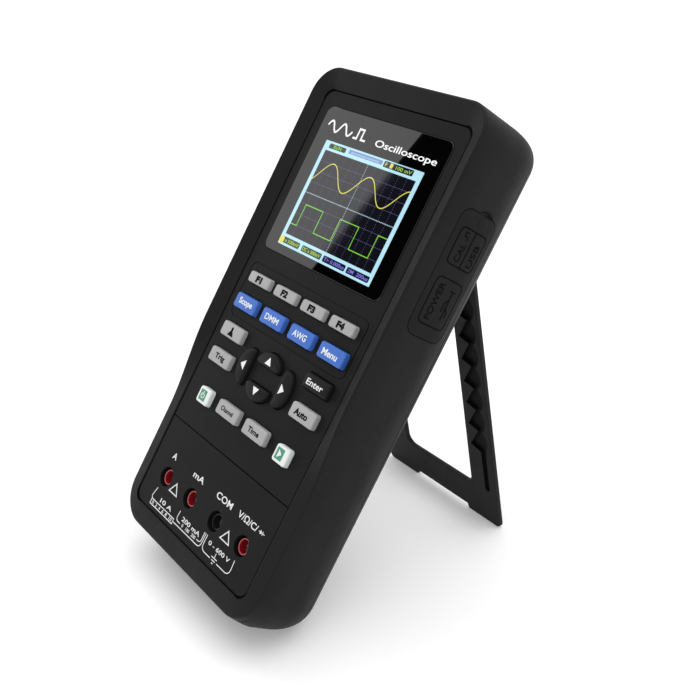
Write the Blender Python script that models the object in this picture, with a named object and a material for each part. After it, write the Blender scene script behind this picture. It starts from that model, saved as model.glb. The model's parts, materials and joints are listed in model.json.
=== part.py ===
# Handheld oscilloscope and multimeter, leaning back on its rear kickstand.
# Device frame, in millimetres: X to the right, Y into the case from the front face, Z up along the case.
# The whole device leans back until its rounded lower rear edge and the stand's two feet share one plane.
import bpy
import bmesh
import math
from mathutils import Matrix, Vector

for old in list(bpy.data.objects):
    bpy.data.objects.remove(old, do_unlink=True)

MM = 0.001

# ---------------------------------------------------------------- driving dimensions (mm)
WIDTH, LENGTH, DEPTH = 98.0, 199.0, 40.0
CORNER_R = 12.5              # corner radius of the outline, seen from the front
EDGE_R = 1.1                 # radius of the front edge
RIM_HIGH, RIM_LOW = -2.5, 0.75     # depth of the rim's crest round the display and round the sockets
RIM_Z0, RIM_Z1 = 49.0, 90.0        # the crest rises between these heights
DRAFT_SIDE, DRAFT_TOP, DRAFT_FOOT, DRAFT_END = 1.03, 0.3, 2.5, 10.0   # taper of the walls towards the front edge, and the depth it ends at
BACK_START, BACK_IN = 17.0, 23.0   # where the sides start to curve in, and how far in they go by the back
BACK_TOP, BACK_FOOT = 0.2, 0.33    # the two ends curve in by these fractions of the sides' inset
FOOT_R = 2.5                 # extra corner radius at the lower end
SPLIT = 27.0                 # parting plane between front case and rear case
WALL = 2.3
GAP = 0.3
PANEL = (-41.0, 41.0, 11.0, 190.2)   # faceplate opening in the front
PANEL_R = 4.6
PANEL_FRONT, PANEL_BACK = 0.35, 2.6
SEAM_Z = 48.0                # seam between faceplate and jack panel
CEILING = 31.0               # inside face of the rear case's back wall
LENS = (-35.9, 35.9, 124.4, 184.1)
LCD = (-34.6, 34.6, 124.9, 175.3)
KEY_TRAVEL = 0.8
KEY_TOP, KEY_FLANGE = -1.65, 3.2
JACK_Z, JACK_X = 26.0, (-28.05, -9.35, 9.35, 28.05)
JACK_HOLE = 4.0
HINGE_Y, HINGE_Z = 36.4, 150.8
STAND_OPEN = 44.5            # degrees from folded to fully open
STAND_LEN, STAND_FOOT = 126.2, 124.0   # hinge to feet, hinge to the bar between the feet
STAND_WIN = 109.8            # hinge to the lower end of the window
STAND_OUT, STAND_INN = 36.7, 21.4
STAND_T0, STAND_T1 = -1.0, 1.3
FLAP = (4.3, 23.4, 120.3, 166.3)   # side flap: depth range and height range
FLAP_T = 1.5
BAY = (-35.0, 35.0, 6.5, 24.5)     # connector bay in the top end
BAY_FLOOR = 187.0
BNC_X, BNC_Y = (-23.5, 0.0, 23.5), 15.5
DOOR = (-18.9, 18.9, 48.0, 144.0)
CELL_R, CELL_L, CELL_Y = 9.1, 65.0, 21.6
ROD_R = 1.0


# ---------------------------------------------------------------- materials
def material(name, colour, rough, metal=0.0):
    m = bpy.data.materials.new(name)
    m.use_nodes = True
    s = m.node_tree.nodes["Principled BSDF"]
    s.inputs["Base Color"].default_value = (*colour, 1.0)
    s.inputs["Roughness"].default_value = rough
    s.inputs["Metallic"].default_value = metal
    return m


M = {
    "case": material("case_rubberised_black", (0.017, 0.017, 0.018), 0.55),
    "panel": material("panel_black", (0.015, 0.015, 0.016), 0.5),
    "lens": material("lens_gloss_black", (0.004, 0.004, 0.005), 0.05),
    "lcd": material("lcd_glass", (0.03, 0.04, 0.05), 0.2),
    "key_grey": material("key_grey", (0.40, 0.40, 0.40), 0.45),
    "key_blue": material("key_blue", (0.07, 0.17, 0.50), 0.45),
    "key_black": material("key_black", (0.02, 0.02, 0.021), 0.45),
    "key_white": material("key_white", (0.62, 0.64, 0.62), 0.45),
    "silicone": material("silicone_grey", (0.3, 0.3, 0.31), 0.7),
    "pcb": material("pcb_green", (0.01, 0.09, 0.03), 0.4),
    "red": material("jack_red", (0.35, 0.008, 0.012), 0.3),
    "black": material("insulator_black", (0.01, 0.01, 0.01), 0.35),
    "nickel": material("nickel_plate", (0.62, 0.60, 0.56), 0.25, 1.0),
    "steel": material("screw_steel", (0.30, 0.30, 0.31), 0.35, 1.0),
    "ptfe": material("ptfe_white", (0.75, 0.75, 0.72), 0.5),
    "cell": material("cell_sleeve", (0.02, 0.11, 0.25), 0.4),
    "flap": material("flap_rubber", (0.013, 0.013, 0.014), 0.7),
    "glass": material("fuse_glass", (0.6, 0.65, 0.65), 0.1),
}


# ---------------------------------------------------------------- geometry helpers
def round_rect(x0, x1, z0, z1, r, n):
    """Corner arcs of a rectangle, anticlockwise, n segments per corner."""
    points = []
    for cx, cz, start in ((x1 - r, z1 - r, 0), (x0 + r, z1 - r, 90), (x0 + r, z0 + r, 180), (x1 - r, z0 + r, 270)):
        for i in range(n + 1):
            a = math.radians(start + 90.0 * i / n)
            points.append((cx + r * math.cos(a), cz + r * math.sin(a)))
    return points


def circle(cx, cz, r, n, turn=0.0):
    return [(cx + r * math.cos(2 * math.pi * (i + turn) / n), cz + r * math.sin(2 * math.pi * (i + turn) / n)) for i in range(n)]


def at_y(points, y):
    return [(p[0], y, p[1]) for p in points]


def at_z(points, z):
    return [(p[0], p[1], z) for p in points]


def at_x(points, x):
    return [(x, p[0], p[1]) for p in points]


def new_object(name, mesh, mat=None, parent=None, origin=(0, 0, 0)):
    ob = bpy.data.objects.new(name, mesh)
    bpy.context.scene.collection.objects.link(ob)
    ob.location = Vector(origin) * MM
    if mat:
        mesh.materials.append(M[mat])
    ob.parent = parent if parent is not None else DEVICE
    return ob


def loft(name, loops, mat=None, parent=None, origin=(0, 0, 0), ring=False, smooth=35):
    """Joins loops of equal point count; caps both ends, or closes last to first for a ring."""
    bm = bmesh.new()
    rows = [[bm.verts.new(((p[0] - origin[0]) * MM, (p[1] - origin[1]) * MM, (p[2] - origin[2]) * MM)) for p in lp] for lp in loops]
    n = len(rows[0])
    pairs = list(zip(rows, rows[1:])) + ([(rows[-1], rows[0])] if ring else [])
    for a, b in pairs:
        for i in range(n):
            bm.faces.new((a[i], a[(i + 1) % n], b[(i + 1) % n], b[i]))
    if not ring:
        bm.faces.new(rows[0])
        bm.faces.new(rows[-1])
    bmesh.ops.recalc_face_normals(bm, faces=bm.faces)
    mesh = bpy.data.meshes.new(name)
    bm.to_mesh(mesh)
    bm.free()
    mesh.shade_smooth()
    mesh.set_sharp_from_angle(angle=math.radians(smooth))
    return new_object(name, mesh, mat, parent, origin)


def plate(name, outer, holes, y0, y1, mat, parent=None):
    """A flat plate in the XZ plane with holes, as a filled 2D curve with an extrusion."""
    cu = bpy.data.curves.new(name, "CURVE")
    cu.dimensions = "2D"
    cu.fill_mode = "BOTH"
    cu.extrude = abs(y1 - y0) / 2 * MM
    for lp in [outer] + list(holes):
        sp = cu.splines.new("POLY")
        sp.points.add(len(lp) - 1)
        for i, p in enumerate(lp):
            sp.points[i].co = (p[0] * MM, p[1] * MM, 0, 1)
        sp.use_cyclic_u = True
    ob = bpy.data.objects.new(name, cu)
    bpy.context.scene.collection.objects.link(ob)
    ob.parent = parent if parent is not None else DEVICE
    ob.location = (0, (y0 + y1) / 2 * MM, 0)
    ob.rotation_euler = (math.radians(90), 0, 0)
    cu.materials.append(M[mat])
    return ob


def cutter(ob):
    ob.hide_render = True
    ob.display_type = "WIRE"
    return ob


def boolean(ob, other, operation="DIFFERENCE"):
    mod = ob.modifiers.new("bool", "BOOLEAN")
    mod.operation = operation
    mod.solver = "EXACT"
    mod.object = other
    return ob


def box_loops(x0, x1, y0, y1, z0, z1):
    return [at_z([(x0, y0), (x1, y0), (x1, y1), (x0, y1)], z) for z in (z0, z1)]


def tube_y(name, cx, cz, r_out, r_in, y0, y1, n, mat):
    """A tube along Y."""
    loops = [at_y(circle(cx, cz, r, n), y) for r, y in ((r_out, y0), (r_out, y1), (r_in, y1), (r_in, y0))]
    return loft(name, loops, mat, ring=True, origin=(cx, y0, cz))


def inset_at(y):
    """Inset of the case's side walls from the outline, at depth y."""
    if y < DRAFT_END:
        return DRAFT_SIDE * (1 - (y - RIM_HIGH - EDGE_R) / (DRAFT_END - RIM_HIGH - EDGE_R)) ** 2
    if y <= BACK_START:
        return 0.0
    return BACK_IN * (1 - math.sqrt(max(0.0, 1 - ((y - BACK_START) / (DEPTH - BACK_START)) ** 2)))


def foot_inset(y):
    """Inset of the lower end wall behind the front draft."""
    return DRAFT_FOOT / 8 + BACK_FOOT * (inset_at(y) if y > BACK_START else 0.0)


def rim_y(z):
    """Depth of the rim's crest at height z: raised round the display, low round the sockets."""
    t = min(1.0, max(0.0, (z - RIM_Z0) / (RIM_Z1 - RIM_Z0)))
    return RIM_LOW + (RIM_HIGH - RIM_LOW) * t * t * (3 - 2 * t)


SIDE_Z = (45.0, 52.0, 58.0, 64.0, 70.0, 76.0, 82.0, 90.0)


def outline(x0, x1, z0, z1, r, r_foot, n=5, sides=False):
    """Rounded outline with its own lower corner radius; sides adds points along the two long edges."""
    points = []
    for cx, cz, start, rr in ((x1 - r, z1 - r, 0, r), (x0 + r, z1 - r, 90, r), (x0 + r_foot, z0 + r_foot, 180, r_foot), (x1 - r_foot, z0 + r_foot, 270, r_foot)):
        if sides and start == 180:
            points += [(x0, z) for z in reversed(SIDE_Z)]
        for i in range(n + 1):
            a = math.radians(start + 90.0 * i / n)
            points.append((cx + rr * math.cos(a), cz + rr * math.sin(a)))
    if sides:
        points += [(x1, z) for z in SIDE_Z]
    return points


def case_loop(y, d, r, n=5, top=None, foot=None, r_foot=None, sides=False):
    return at_y(outline(-WIDTH / 2 + d, WIDTH / 2 - d, d if foot is None else foot, LENGTH - (d if top is None else top), r, r if r_foot is None else r_foot, n, sides), y)


def rim_loop(d, top, foot, r, lift, blend=0.0):
    """Loop on the rim that follows the crest: lift is measured back from the crest; blend runs from the crest to the end of the draft."""
    pts = outline(-WIDTH / 2 + d, WIDTH / 2 - d, foot, LENGTH - top, r, r + FOOT_R, 5, True)
    return [(x, (rim_y(z) + lift) * (1 - blend) + DRAFT_END * blend, z) for x, z in pts]


def panel_loop(y, grow, n=5, sides=False):
    r = PANEL_R + grow
    return at_y(outline(PANEL[0] - grow, PANEL[1] + grow, PANEL[2] - grow, PANEL[3] + grow, r, r, n, sides), y)


def rear_r(d):
    return CORNER_R - 0.45 * d


def outer_loops(depths, extra=0.0, sides=False):
    """Loops of the outer surface, or of one that lies extra inside it."""
    loops = []
    for y in depths:
        d = inset_at(y)
        r = (rear_r(d) if y > BACK_START else CORNER_R - d) - extra
        loops.append(case_loop(y, d + extra, r, 5, DRAFT_TOP + (BACK_TOP * d if y > BACK_START else 0.0) + extra, foot_inset(y) + extra, r + FOOT_R, sides))
    return loops


# ---------------------------------------------------------------- the leaning frame
REAR_DEPTHS = [SPLIT + GAP, 28.3, 30.0, 32.2, 34.3, 36.3, 37.8, 38.9, 39.6, DEPTH]


def lowest_below(lean):
    """Lowest height of the case's rear lower edge once leaning, with the device origin at height 0."""
    return min(foot_inset(y) * math.cos(lean) - y * math.sin(lean) for y in REAR_DEPTHS)


def foot_height(lean):
    a = math.radians(STAND_OPEN)
    y = HINGE_Y + STAND_LEN * math.sin(a) + STAND_T0 * math.cos(a)
    z = HINGE_Z - STAND_LEN * math.cos(a) + STAND_T0 * math.sin(a)
    return z * math.cos(lean) - y * math.sin(lean)


low, high = math.radians(10), math.radians(60)
for _ in range(60):
    mid = (low + high) / 2
    if foot_height(mid) > lowest_below(mid):
        low = mid
    else:
        high = mid
LEAN = (low + high) / 2
FOOT_SLOPE = math.tan(math.radians(STAND_OPEN) - LEAN)

DEVICE = bpy.data.objects.new("device_frame", None)
bpy.context.scene.collection.objects.link(DEVICE)
DEVICE.rotation_euler = (-LEAN, 0, 0)

# ---------------------------------------------------------------- front case: rim and side walls
front_loops = [panel_loop(0.4, 0.0, 5, True), panel_loop(0.0, 0.35, 5, True)]
for k in range(3):
    a = math.radians(45.0 * k)
    e = EDGE_R * (1 - math.sin(a))
    front_loops.append(rim_loop(DRAFT_SIDE + e, DRAFT_TOP + e, DRAFT_FOOT + e, CORNER_R - DRAFT_SIDE - e, EDGE_R * (1 - math.cos(a))))
for k in (0.25, 0.5, 0.75, 1.0):
    d = DRAFT_SIDE * (1 - k) ** 2
    front_loops.append(rim_loop(d, DRAFT_TOP, DRAFT_FOOT * (1 - 0.75 * k) ** 1.5, CORNER_R - d, EDGE_R, k))
front_loops += outer_loops([BACK_START, 20.0, 24.0, SPLIT], 0.0, True)
front_loops += [
    case_loop(SPLIT, inset_at(SPLIT) + WALL, rear_r(inset_at(SPLIT)) - WALL, sides=True),
    case_loop(22.0, inset_at(22.0) + WALL, rear_r(inset_at(22.0)) - WALL, sides=True),
    case_loop(BACK_START, WALL, CORNER_R - WALL, sides=True),
    case_loop(4.2, WALL, CORNER_R - WALL, sides=True),
    panel_loop(4.2, 0.0, 5, True),
]
front_case = loft("front_case", front_loops, "case", ring=True)

# flap recess: a pocket that follows the side's curve, with a finger notch at its upper end
flap_out = round_rect(FLAP[0] - GAP, FLAP[1] + GAP, FLAP[2] - GAP, FLAP[3] + GAP, 4.6, 4)
pocket = cutter(loft("cut_flap_pocket", [at_x(flap_out, x) for x in (44.0, 53.0)]))
inner_skin = cutter(loft("cut_inner_skin", outer_loops([1.0, 4.3, 7.15, DRAFT_END, BACK_START, 20.0, 24.0, SPLIT], FLAP_T + 0.25)))
boolean(pocket, inner_skin)
boolean(front_case, pocket)
notch = cutter(loft("cut_flap_notch", [at_x(circle(14.2, 166.4, 4.2, 16), x) for x in (47.9, 52.0)]))
boolean(front_case, notch)
# connector windows behind the flap
for z0, z1, tag in ((126.6, 139.4, "power"), (147.0, 160.6, "usb")):
    win = cutter(loft(f"cut_window_{tag}", [at_x(round_rect(9.4, 16.4, z0, z1, 1.2, 2), x) for x in (44.5, 48.5)]))
    boolean(front_case, win)
# mouth of the connector bay in the top end
bay_mouth = round_rect(BAY[0] - 1.5, BAY[1] + 1.5, BAY[2] - 1.5, BAY[3] + 1.5, 5.0, 4)
mouth = cutter(loft("cut_bay_mouth", [at_z(bay_mouth, z) for z in (190.0, 203.0)]))
boolean(front_case, mouth)

# ---------------------------------------------------------------- rear case: curved back shell
d_in = inset_at(SPLIT)
rear_loops = [
    case_loop(CEILING, 8.4, 7.2),
    case_loop(CEILING - 1.2, 6.6, 8.0),
    case_loop(SPLIT + GAP, d_in + WALL + 0.1, rear_r(d_in) - WALL),
]
rear_loops += outer_loops(REAR_DEPTHS)
rear_case = loft("rear_case", rear_loops, "case")

# recess that the folded stand lies in
REC_Y = HINGE_Y + STAND_T0 - 0.4
leg_top, foot_z = HINGE_Z + 3.6, HINGE_Z - STAND_LEN - 1.7
win_z = HINGE_Z - STAND_WIN + 0.4
u_shape = [
    (-STAND_OUT - 0.5, foot_z), (STAND_OUT + 0.5, foot_z), (STAND_OUT + 0.5, leg_top), (STAND_INN - 0.4, leg_top),
    (STAND_INN - 0.4, win_z + 4.0), (STAND_INN - 4.4, win_z), (-STAND_INN + 4.4, win_z), (-STAND_INN + 0.4, win_z + 4.0),
    (-STAND_INN + 0.4, leg_top), (-STAND_OUT - 0.5, leg_top),
]
recess = cutter(loft("cut_stand_recess", [at_y(u_shape, y) for y in (REC_Y, 43.0)]))
boolean(rear_case, recess)
for side in (-1, 1):
    xs = sorted((side * (STAND_INN - 0.4), side * (STAND_OUT + 0.5)))
    hinge_well = cutter(loft(f"cut_hinge_well_{'r' if side > 0 else 'l'}", box_loops(xs[0] + 0.01, xs[1] - 0.01, 32.6, 42.0, HINGE_Z - 4.0, HINGE_Z + 3.59)))
    boolean(rear_case, hinge_well)
# finger scoop below the folded stand's crossbar
scoop = cutter(loft("cut_finger_scoop", [at_x(circle(45.0, 25.0, 8.5, 28), x) for x in (-9.0, 9.0)]))
boolean(rear_case, scoop)
rod_hole = cutter(loft("cut_rod_hole", [at_x(circle(HINGE_Y, HINGE_Z, ROD_R + 0.12, 14), x) for x in (-36.9, 36.9)]))
boolean(rear_case, rod_hole)
# battery bay: a through opening below a stepped door seat
door_seat = cutter(loft("cut_door_seat", [at_y(round_rect(DOOR[0] - GAP, DOOR[1] + GAP, DOOR[2] - GAP, DOOR[3] + GAP, 3.0, 3), y) for y in (37.3, 43.0)]))
boolean(rear_case, door_seat)
bat_open = cutter(loft("cut_battery_opening", [at_y(round_rect(-18.6, 18.6, 51.0, 129.0, 2.0, 2), y) for y in (30.0, 38.0)]))
boolean(rear_case, bat_open)
door_screw_hole = cutter(loft("cut_door_screw_hole", [at_y(circle(0, 137.0, 1.35, 12), y) for y in (30.0, 38.0)]))
boolean(rear_case, door_screw_hole)
# counterbored case screws
SCREWS = {"upper_left": (-30, 170), "upper_right": (30, 170), "lower_left": (-30, 15.5), "lower_right": (30, 15.5)}
for tag, (x, z) in SCREWS.items():
    steps = [(1.7, 29.0), (1.7, 35.6), (3.1, 35.6), (3.1, 42.0)]
    cb = cutter(loft(f"cut_screw_{tag}", [at_y(circle(x, z, r, 14), y) for r, y in steps]))
    boolean(rear_case, cb)

# ---------------------------------------------------------------- faceplate, jack panel and window
KEYS = {
    "key_f1": (-26.5, 111.9, 13.9, 4.6, "key_grey"), "key_f2": (-8.85, 111.9, 13.9, 4.6, "key_grey"),
    "key_f3": (8.85, 111.9, 13.9, 4.6, "key_grey"), "key_f4": (26.5, 111.9, 13.9, 4.6, "key_grey"),
    "key_scope": (-28.0, 101.4, 14.3, 6.2, "key_blue"), "key_dmm": (-9.35, 101.4, 14.3, 6.2, "key_blue"),
    "key_generator": (9.35, 101.4, 14.3, 6.2, "key_blue"), "key_menu": (28.0, 101.4, 14.3, 6.2, "key_blue"),
    "key_measure": (-28.0, 89.2, 14.3, 6, "key_grey"), "key_enter": (28.0, 89.4, 14.7, 6, "key_black"),
    "key_trigger": (-28.0, 78.1, 14.3, 6, "key_grey"), "key_auto": (28.4, 78, 14.3, 6, "key_grey"),
    "key_power": (-26.6, 62, 7.9, 6.8, "key_white"), "key_channel": (-9.4, 62.6, 14.3, 6, "key_grey"),
    "key_time": (9.4, 62.6, 14.3, 6, "key_grey"), "key_run": (27.6, 61.9, 7.9, 6.8, "key_white"),
}
PAD_C = (0.0, 81.2)
PAD_RX, PAD_RZ = 17.2, 10.0      # outer ellipse of the arrow keys
# each arrow key: half width, inner edge and outer bow, measured from the pad's centre
ARROWS = {"key_up": (0, 1), "key_down": (0, -1), "key_left": (-1, 0), "key_right": (1, 0)}


def arrow_loop(sx, sz, grow, n=6):
    """A key with a straight inner edge and a bowed outer edge."""
    pts = []
    if sx:
        half, inner, outer, bow = 7.4 + grow, 9.9 - grow, 14.4 + grow, 2.7
        pts.append((inner, -half + 1.2))
        pts.append((inner + 1.0, -half))
        for i in range(n + 1):
            t = -1 + 2 * i / n
            pts.append((outer + bow * (1 - t * t) - 1.2 * abs(t) ** 6, (half - 0.2) * t))
        pts.append((inner + 1.0, half))
        pts.append((inner, half - 1.2))
        loop = [(PAD_C[0] + sx * p[0], PAD_C[1] + p[1]) for p in pts]
    else:
        half, inner, outer, bow = 7.3 + grow, 3.6 - grow, 7.0 + grow, 2.7
        pts.append((-half + 1.2, inner))
        pts.append((-half, inner + 1.0))
        for i in range(n + 1):
            t = -1 + 2 * i / n
            pts.append(((half - 0.2) * t, outer + bow * (1 - t * t) - 1.2 * abs(t) ** 6))
        pts.append((half, inner + 1.0))
        pts.append((half - 1.2, inner))
        loop = [(PAD_C[0] + p[0], PAD_C[1] + sz * p[1]) for p in pts]
    if (sx or -sz) > 0:
        return loop
    return loop[::-1]


def key_outline(name, grow):
    if name in ARROWS:
        return arrow_loop(*ARROWS[name], grow)
    cx, cz, w, h, _ = KEYS[name]
    return round_rect(cx - w / 2 - grow, cx + w / 2 + grow, cz - h / 2 - grow, cz + h / 2 + grow, 1.1 + grow, 2)


px0, px1, pz0, pz1 = PANEL[0] + GAP, PANEL[1] - GAP, PANEL[2] + GAP, PANEL[3] - GAP
pr = PANEL_R - GAP


def half_round_rect(x0, x1, z0, z1, r, n, top):
    """Rounded at the top corners only, or at the bottom corners only."""
    if top:
        return [(x0, z0), (x1, z0)] + [p for p in round_rect(x0, x1, z0, z1, r, n)[: 2 * (n + 1)]]
    return [(x1, z1), (x0, z1)] + [p for p in round_rect(x0, x1, z0, z1, r, n)[2 * (n + 1):]]


holes = [key_outline(k, 0.35) for k in list(KEYS) + list(ARROWS)]
holes.append(round_rect(LENS[0] - 0.2, LENS[1] + 0.2, LENS[2] - 0.2, LENS[3] + 0.2, 3.2, 4))
front_panel = plate("front_panel", half_round_rect(px0, px1, SEAM_Z + 0.2, pz1, pr, 4, True), holes, PANEL_FRONT, PANEL_BACK, "panel")
jack_holes = [circle(x, JACK_Z, JACK_HOLE, 20) for x in JACK_X]
jack_panel = plate("jack_panel", half_round_rect(px0, px1, pz0, SEAM_Z - 0.2, pr, 4, False), jack_holes, PANEL_FRONT, PANEL_BACK, "panel")
display_lens = loft("display_lens", [
    at_y(round_rect(LENS[0] + g, LENS[1] - g, LENS[2] + g, LENS[3] - g, 3.0 - g, 4), y) for g, y in ((0, 1.7), (0, 0.35), (0.25, 0.15))], "lens")
lcd_module = loft("lcd_module", [at_y(round_rect(*LCD, 0.8, 1), y) for y in (2.1, 6.4)], "lcd")

# ---------------------------------------------------------------- keys: cap through the plate, flange behind it
for name in list(KEYS) + list(ARROWS):
    if name in KEYS:
        cx, cz, w, h, mat = KEYS[name]
    else:
        sx, sz = ARROWS[name]
        cx, cz, mat = PAD_C[0] + sx * 13.3, PAD_C[1] + sz * 6.8, "key_black"
    loops = [at_y(key_outline(name, g), y) for g, y in (
        (0.75, KEY_FLANGE + 0.8), (0.75, KEY_FLANGE), (0.0, KEY_FLANGE), (-0.12, KEY_TOP + 0.5), (-0.6, KEY_TOP))]
    loft(name, loops, mat, origin=(cx, KEY_FLANGE, cz))
membrane = loft("keypad_membrane", [at_y(round_rect(-38.0, 38.0, 56.0, 117.5, 3.0, 2), y) for y in (5.15, 6.3)], "silicone")
main_pcb = loft("main_pcb", [at_y(round_rect(-43.5, 43.5, 38.5, 183.0, 4.0, 2), y) for y in (6.8, 8.4)], "pcb")

# ---------------------------------------------------------------- multimeter sockets
block = loft("jack_housing", [at_y(round_rect(-37.0, 37.0, 17.5, 35.5, 2.0, 2), y) for y in (2.9, 20.0)], "black")
NAMES = ("amp", "milliamp", "common", "volt")
for x, tag in zip(JACK_X, NAMES):
    well = cutter(loft(f"cut_well_{tag}", [at_y(circle(x, JACK_Z, r, 18), y) for r, y in ((JACK_HOLE, 1.0), (JACK_HOLE, 15.0), (3.4, 15.0), (3.4, 24.0))]))
    boolean(block, well)
    tube_y(f"jack_insulator_{tag}", x, JACK_Z, 3.2, 2.6, 1.7, 21.0, 16, "black" if tag == "common" else "red")
    tube_y(f"jack_contact_{tag}", x, JACK_Z, 2.48, 2.03, 5.0, 23.0, 14, "nickel")

# ---------------------------------------------------------------- input connectors in the top end
bay_o = round_rect(BAY[0] - 1.2, BAY[1] + 1.2, BAY[2] - 1.2, BAY[3] + 1.2, 4.7, 4)
bay_i = round_rect(BAY[0], BAY[1], BAY[2], BAY[3], 3.5, 4)
bay = loft("connector_bay", [at_z(bay_o, BAY_FLOOR - 1.8), at_z(bay_o, 198.2), at_z(bay_i, 198.2), at_z(bay_i, BAY_FLOOR)], "panel")
for i, x in enumerate(BNC_X, 1):
    hole = cutter(loft(f"cut_bnc_{i}", [at_z(circle(x, BNC_Y, 4.75, 18), z) for z in (183.0, 189.0)]))
    boolean(bay, hole)
    profile = [(3.9, 184.0), (4.5, 184.0), (4.5, BAY_FLOOR + 0.3), (6.4, BAY_FLOOR + 0.3), (6.4, BAY_FLOOR + 2.0), (4.8, BAY_FLOOR + 2.6),
               (4.8, 198.0), (4.5, 198.4), (4.05, 198.4), (4.05, 189.0), (3.9, 189.0)]
    body = loft(f"bnc_body_{i}", [at_z(circle(x, BNC_Y, r, 20), z) for r, z in profile], "nickel", ring=True, origin=(x, BNC_Y, BAY_FLOOR))
    lug = cutter(loft(f"lug_{i}", [at_x(circle(BNC_Y, 195.6, 0.95, 10), lx) for lx in (x - 5.6, x + 5.6)]))
    core = cutter(loft(f"lug_core_{i}", [at_z(circle(x, BNC_Y, 4.3, 20), z) for z in (194.0, 197.2)]))
    boolean(lug, core)
    boolean(body, lug, "UNION")
    ins = loft(f"bnc_insulator_{i}", [at_z(circle(x, BNC_Y, r, 16), z) for r, z in (
        (3.6, 183.4), (3.6, 189.6), (2.4, 189.6), (2.4, 196.0), (0.75, 196.0), (0.75, 190.5))], "ptfe", origin=(x, BNC_Y, BAY_FLOOR))

# ---------------------------------------------------------------- battery, tray, door
tray_o, tray_i = (-20.4, 20.4, 53.0, 127.5), (-18.9, 18.9, 54.4, 126.1)
loft("battery_tray", [at_y(round_rect(*tray_o, 1.5, 1), 10.6), at_y(round_rect(*tray_o, 1.5, 1), 30.4),
                      at_y(round_rect(*tray_i, 1.0, 1), 30.4), at_y(round_rect(*tray_i, 1.0, 1), 11.8)], "black")
for side, tag in ((-1, "left"), (1, "right")):
    cx, z0 = side * 9.35, 57.7
    prof = [(CELL_R - 0.4, z0), (CELL_R, z0 + 0.4), (CELL_R, z0 + CELL_L - 0.5), (CELL_R - 0.5, z0 + CELL_L), (2.8, z0 + CELL_L), (2.8, z0 + CELL_L + 1.2)]
    loft(f"battery_cell_{tag}", [at_z(circle(cx, CELL_Y, r, 18), z) for r, z in prof], "cell", origin=(cx, CELL_Y, z0))
door = loft("battery_door", [at_y(round_rect(DOOR[0] + g, DOOR[1] - g, DOOR[2] + g, DOOR[3] - g, 2.8 - g, 3), y) for g, y in ((0, 37.6), (0, 39.4), (0.4, 39.8))], "case")
door_cb = cutter(loft("cut_door_counterbore", [at_y(circle(0, 137.0, r, 14), y) for r, y in ((1.35, 36.0), (1.35, 38.5), (2.6, 38.5), (2.6, 41.0))]))
boolean(door, door_cb)


def screw(name, x, z, head_r, head_y0, head_y1, shank_r, tip_y):
    """Pan head flush in its counterbore, with a cross recess, and a shank into the case."""
    ob = loft(name, [at_y(circle(x, z, r, 12), y) for r, y in (
        (shank_r * 0.5, tip_y), (shank_r, tip_y + 0.8), (shank_r, head_y0), (head_r, head_y0), (head_r, head_y1 - 0.4), (head_r - 0.5, head_y1))], "steel", origin=(x, head_y0, z))
    h = head_r * 0.55
    w = 0.32
    cross = [(h, -w), (h, w), (w, w), (w, h), (-w, h), (-w, w), (-h, w), (-h, -w), (-w, -w), (-w, -h), (w, -h), (w, -w)]
    cc = cutter(loft("cut_" + name, [at_y([(x + a, z + b) for a, b in cross], y) for y in (head_y1 - 0.7, head_y1 + 1.0)]))
    boolean(ob, cc)
    return ob


for tag, (x, z) in SCREWS.items():
    screw(f"case_screw_{tag}", x, z, 2.8, 35.9, 37.7, 1.4, 22.0)
screw("battery_door_screw", 0, 137.0, 2.3, 38.75, 39.7, 1.05, 33.0)

# ---------------------------------------------------------------- parts on the circuit board
for z, tag in ((133.0, "power"), (153.8, "usb")):
    so = loft(f"{tag}_socket", [at_x(round_rect(10.2, 13.8, z - 4.6, z + 4.6, 1.0, 2), x) for x in (39.0, 46.3)], "nickel")
    sc = cutter(loft(f"cut_{tag}_socket", [at_x(round_rect(10.6, 13.4, z - 4.2, z + 4.2, 0.8, 2), x) for x in (41.0, 48.0)]))
    boolean(so, sc)
loft("fuse", [at_x(circle(12.2, 44.0, r, 12), x) for r, x in ((2.6, -20.0), (2.6, -14.4), (2.3, -14.4), (2.3, -5.6), (2.6, -5.6), (2.6, 0.0))], "glass")
loft("buzzer", [at_y(circle(31.0, 70.0, r, 16), y) for r, y in ((6.0, 8.7), (6.0, 13.0), (5.4, 13.6), (1.2, 13.6), (1.2, 12.6))], "black")

# ---------------------------------------------------------------- kickstand, built folded and turned open about its hinge
HINGE = bpy.data.objects.new("stand_hinge", None)
bpy.context.scene.collection.objects.link(HINGE)
HINGE.parent = DEVICE
HINGE.location = Vector((0, HINGE_Y, HINGE_Z)) * MM
HINGE.rotation_euler = (math.radians(STAND_OPEN), 0, 0)


def stand_loop(grow, t):
    """Outline of the frame from the hinge down, as (x, distance below the hinge), with feet cut flat to the ground."""
    o, i = STAND_OUT - grow, STAND_INN + grow
    s0, foot, bar = 0.0, STAND_LEN - grow + (t - STAND_T0) * FOOT_SLOPE, STAND_FOOT - grow
    win = STAND_WIN + grow
    r = 4.0
    corner = [(i - r * (1 - math.sin(a)) , win - r * (1 - math.cos(a))) for a in (math.radians(t) for t in (90, 60, 30, 0))]
    left = [(-x, s) for x, s in reversed(corner)]
    pad = 17.4 + grow
    return ([(o, s0), (o, foot - 2.0), (o - 2.0, foot), (pad, foot), (pad - 0.6, bar), (-pad + 0.6, bar), (-pad, foot), (-o + 2.0, foot), (-o, foot - 2.0), (-o, s0),
             (-i, s0)] + [(-x, s) for x, s in corner] + [(x, s) for x, s in reversed(corner)] + [(i, s0)])


def stand_pts(grow, t):
    return [(x, t, -s) for x, s in stand_loop(grow, t)]


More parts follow.
